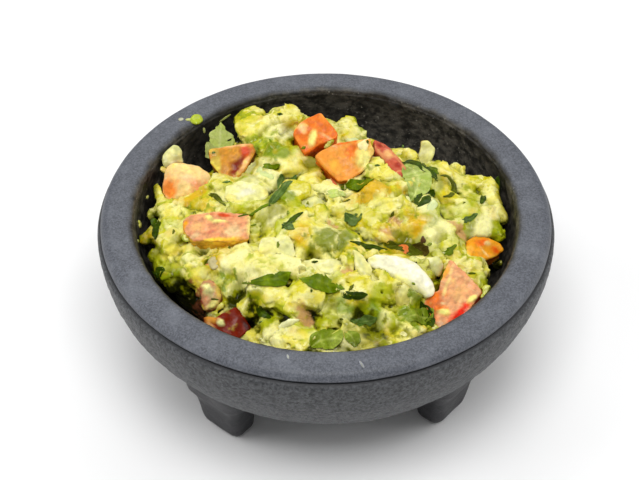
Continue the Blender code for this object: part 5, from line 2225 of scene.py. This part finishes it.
@dataclass
class Scraps:
    """Small scraps of one kind, pressed onto the surface under them."""

    name: str
    bits: tuple[Bit, ...]
    sunk: float = 0.40
    skew: float = 0.34
    roundness: float = 0.35
    look_from: float = 20.0

    def build(self, ground: BVHTree, towards: Vector | None = None) -> Piece:
        """The scraps as one piece.

        Args:
            ground: What they lie on.
            towards: The way they are pressed; without it, each goes to the nearest surface.

        Returns:
            The joined scraps.
        """
        made = []
        for index, bit in enumerate(self.bits):
            shape = primitive("cube", "scrap", size=1.0)
            with editing(shape):
                bpy.ops.transform.vertex_random(offset=self.skew, uniform=1.0, seed=7 * index + 2)
                bpy.ops.mesh.subdivide(number_cuts=4, smoothness=0.3, fractal=1.0,
                                       fractal_along_normal=0.5, seed=3 * index + 1)
                bpy.ops.mesh.vertices_smooth(factor=0.5, repeat=2)
            block = points_of(shape)
            ball = 0.5 * block / np.maximum(np.linalg.norm(block, axis=1), 0.1)[:, None]
            move_points(shape, block * (1.0 - self.roundness) + ball * self.roundness)
            start = Vector((bit.x, bit.y, bit.z)) * MM
            if towards is None:
                spot, normal, _, _ = ground.find_nearest(start)
            else:
                spot, normal, _, _ = ground.ray_cast(start - towards * self.look_from * MM, towards)
            if spot is None:
                log.warning("%s: a scrap has nothing under it", self.name)
                spot, normal = start, Vector((0.0, 0.0, 1.0))
            if normal.dot(SERVING_SIDE) < -0.2:
                normal = -normal
            face = normal.to_track_quat("Z", "Y").to_matrix().to_4x4()
            place = (
                Matrix.Translation(spot - normal * self.sunk * bit.size[2] * MM) @ face
                @ Matrix.Rotation(math.radians(bit.heading), 4, "Z")
                @ Matrix.Diagonal((*(c * MM for c in bit.size), 1.0))
            )
            shape.data.transform(place)
            points = points_of(shape)
            grain = Grain(41 + index)
            rough = grain.at(points, 0.9 * MM) * 0.12 * bit.size[2] * MM
            move_points(shape, points + normals_of(shape) * rough[:, None])
            cloud = (1.0 + 0.2 * grain.swells(points, 1.0 * MM, 2))[:, None]
            colour = np.array(bit.colour[:3]) * cloud
            paint(shape, "tint", colour)
            made.append(shape)
        whole = join(made, self.name)
        shade_smooth(whole)
        return whole


TOMATO_BITS: tuple[Bit, ...] = tuple(Bit(*row) for row in (
    (20.6, -15.6, 51, (3.4, 3.0, 3.4), 20, srgb(226, 122, 58)),
    (3.4, 11.0, 54, (3.6, 1.4, 1.2), -20, srgb(190, 96, 56)),
    (-33.6, -15.4, 50, (4.6, 0.9, 0.8), -50, srgb(224, 150, 92)),
    (26.2, -12.6, 51, (2.0, 2.2, 1.4), 0, srgb(96, 70, 44)),
))
ONION_BITS: tuple[Bit, ...] = tuple(Bit(*row) for row in (
    (-32.4, -15.0, 50, (4.2, 3.6, 1.8), 10, srgb(188, 176, 126)),
    (13.6, 24.0, 53, (3.8, 2.6, 1.8), 0, srgb(240, 224, 158)),
    (24.0, 1.0, 53, (4.0, 2.4, 1.6), 10, srgb(226, 224, 150)),
    (-16.0, 16.4, 53, (6.0, 2.6, 1.6), 0, srgb(204, 214, 140)),
    (30.0, -2.0, 52, (5.0, 2.6, 1.6), 10, srgb(216, 226, 160)),
    (17.0, -44.0, 46, (2.2, 1.4, 1.0), 30, srgb(228, 222, 150)),
    (-14.0, -38.0, 48, (3.4, 5.4, 2.0), 10, srgb(240, 238, 178)),
    (11.0, 31.0, 53, (3.6, 2.2, 1.6), -30, srgb(206, 216, 148)),
))
GREEN_MASH = srgb(168, 182, 40)
PALE_MASH = srgb(176, 176, 152)
WALL_BITS: tuple[Bit, ...] = tuple(Bit(*row) for row in (
    (-35.0, 43.4, 53.2, (4.2, 3.8, 1.5), 20, GREEN_MASH),
    (-37.0, 43.4, 53.2, (2.6, 1.1, 0.6), 10, srgb(196, 200, 120)),
    (-39.6, 43.8, 53.2, (1.6, 1.4, 0.5), 40, PALE_MASH),
    (-33.3, 43.2, 49.0, (1.0, 2.0, 0.6), 0, srgb(178, 184, 110)),
    (-26.8, 47.8, 49.8, (4.4, 0.9, 0.5), 15, srgb(150, 156, 80)),
    (-21.8, 50.0, 48.6, (4.0, 0.8, 0.5), 5, srgb(132, 138, 70)),
    (-53.6, 6.5, 46.4, (1.2, 1.5, 0.9), 0, srgb(196, 196, 84)),
    (-54.0, -1.7, 46.8, (0.9, 1.0, 0.7), 0, srgb(176, 178, 96)),
    (-50.6, 17.6, 46.0, (1.4, 1.2, 0.8), 0, srgb(208, 206, 110)),
    (-51.8, 6.0, 46.0, (1.6, 2.4, 1.0), 70, srgb(206, 200, 96)),
    (4.0, -60.4, 53.2, (2.8, 0.7, 0.25), 20, srgb(150, 152, 150)),
    (-15.0, -56.0, 53.2, (1.8, 0.6, 0.25), -30, srgb(156, 158, 150)),
))


# ---- studio -------------------------------------------------------------------------------------
@dataclass
class Studio:
    """A white table under four soft lights, and the camera in front.

    Each light has its name, place, side and power in watts.
    """

    azimuth: float = math.radians(5.0)
    elevation: float = math.radians(43.3)
    distance: float = 550.0 * MM
    lens: float = 107.4
    target: tuple = (-1.67 * MM, 0.15 * MM, 41.3 * MM)
    table_side: float = 12.0
    sky: float = 0.27
    lights: tuple = (
        ("Key", (-0.03, -0.26, 0.74), 0.42, 4.0), ("Left", (-0.82, 0.06, 0.48), 0.70, 3.6),
        ("Right", (0.82, 0.06, 0.48), 0.70, 3.2), ("Back", (0.0, 0.80, 0.70), 0.60, 2.4),
    )
    lit_spot: tuple = (0.0, 0.0, 0.045)

    def build(self) -> None:
        """Makes the table, the lights and the camera."""
        table = primitive("plane", "table", size=self.table_side)
        g = Graph("White table")
        g.link(g.mix(g.noise(0.4), (0.90, 0.90, 0.90, 1.0), (0.92, 0.92, 0.92, 1.0)), "Base Color")
        g.set(Roughness=0.8, Specular_IOR_Level=0.2)
        table.data.materials.append(g.material)
        world = bpy.data.worlds.new("Studio")
        bpy.context.scene.world = world
        world.use_nodes = True
        back = world.node_tree.nodes["Background"]
        back.inputs["Color"].default_value = (1.0, 1.0, 1.0, 1.0)
        back.inputs["Strength"].default_value = self.sky
        for light in self.lights:
            self._light(*light)
        self._camera()
        bpy.context.scene.view_settings.view_transform = "Standard"

    def _light(self, name: str, place: tuple, size: float, power: float) -> None:
        """A square soft light that faces the bowl.

        Args:
            name: The light's name.
            place: Where it hangs, in metres.
            size: Its side, in metres.
            power: Its power, in watts.
        """
        lamp = bpy.data.lights.new(name, "AREA")
        lamp.shape = "SQUARE"
        lamp.size = size
        lamp.energy = power
        made = bpy.data.objects.new(name, lamp)
        made.location = place
        aim = Vector(self.lit_spot) - Vector(place)
        made.rotation_euler = aim.to_track_quat("-Z", "Y").to_euler()
        bpy.context.scene.collection.objects.link(made)

    def _camera(self) -> None:
        """The camera, aimed at the bowl from a little to the left of the front."""
        data = bpy.data.cameras.new("Camera")
        data.lens = self.lens
        data.sensor_width = 36.0
        data.clip_start = 0.05
        camera = bpy.data.objects.new("Camera", data)
        flat = math.cos(self.elevation) * self.distance
        away = Vector((
            -math.sin(self.azimuth) * flat,
            -math.cos(self.azimuth) * flat,
            math.sin(self.elevation) * self.distance,
        ))
        camera.location = Vector(self.target) + away
        camera.rotation_euler = (-away).to_track_quat("-Z", "Y").to_euler()
        bpy.context.scene.collection.objects.link(camera)
        bpy.context.scene.camera = camera


def main() -> None:
    """Builds every piece in order."""
    logging.basicConfig(level=logging.INFO, format="%(name)s %(levelname)s %(message)s")
    Studio().build()
    bowl = Bowl()
    casting = bowl.build()
    colours = BowlColours(bowl)
    colours.paint(casting)
    stone = colours.material()
    settle(casting, stone)
    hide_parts("bowl")
    foot_finish = STONE_FEET.material()
    for foot in Feet().build():
        settle(foot, foot_finish)
        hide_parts("bowl")
    tomato_finish = TOMATO_FLESH.material()
    onion_finish = WHITE_ONION.material()
    mash_finish = AVOCADO_MASH.material()
    chunks = []
    for piece in TOMATOES:
        chunks.append((settle(piece.build(), tomato_finish), piece))
    for piece in ONIONS:
        chunks.append((settle(piece.build(), onion_finish), piece))
    mash = Mash().build(chunks, bowl)
    settle(mash, mash_finish)
    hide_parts("guacamole")
    ground = surface_of(mash, *(piece for piece, _ in chunks))
    leaf_finish = CORIANDER_LEAF.material()
    settle(Herbs().build(ground), leaf_finish)
    scraps = Scraps("tomato_scraps", TOMATO_BITS)
    settle(scraps.build(ground, -SERVING_SIDE), tomato_finish)
    scraps = Scraps("onion_scraps", ONION_BITS)
    settle(scraps.build(ground, -SERVING_SIDE), onion_finish)
    smears = Scraps("bowl_smears", WALL_BITS, sunk=-0.1, skew=0.12, roundness=0.9)
    settle(smears.build(surface_of(casting)), mash_finish)


if __name__ == "__main__":
    main()
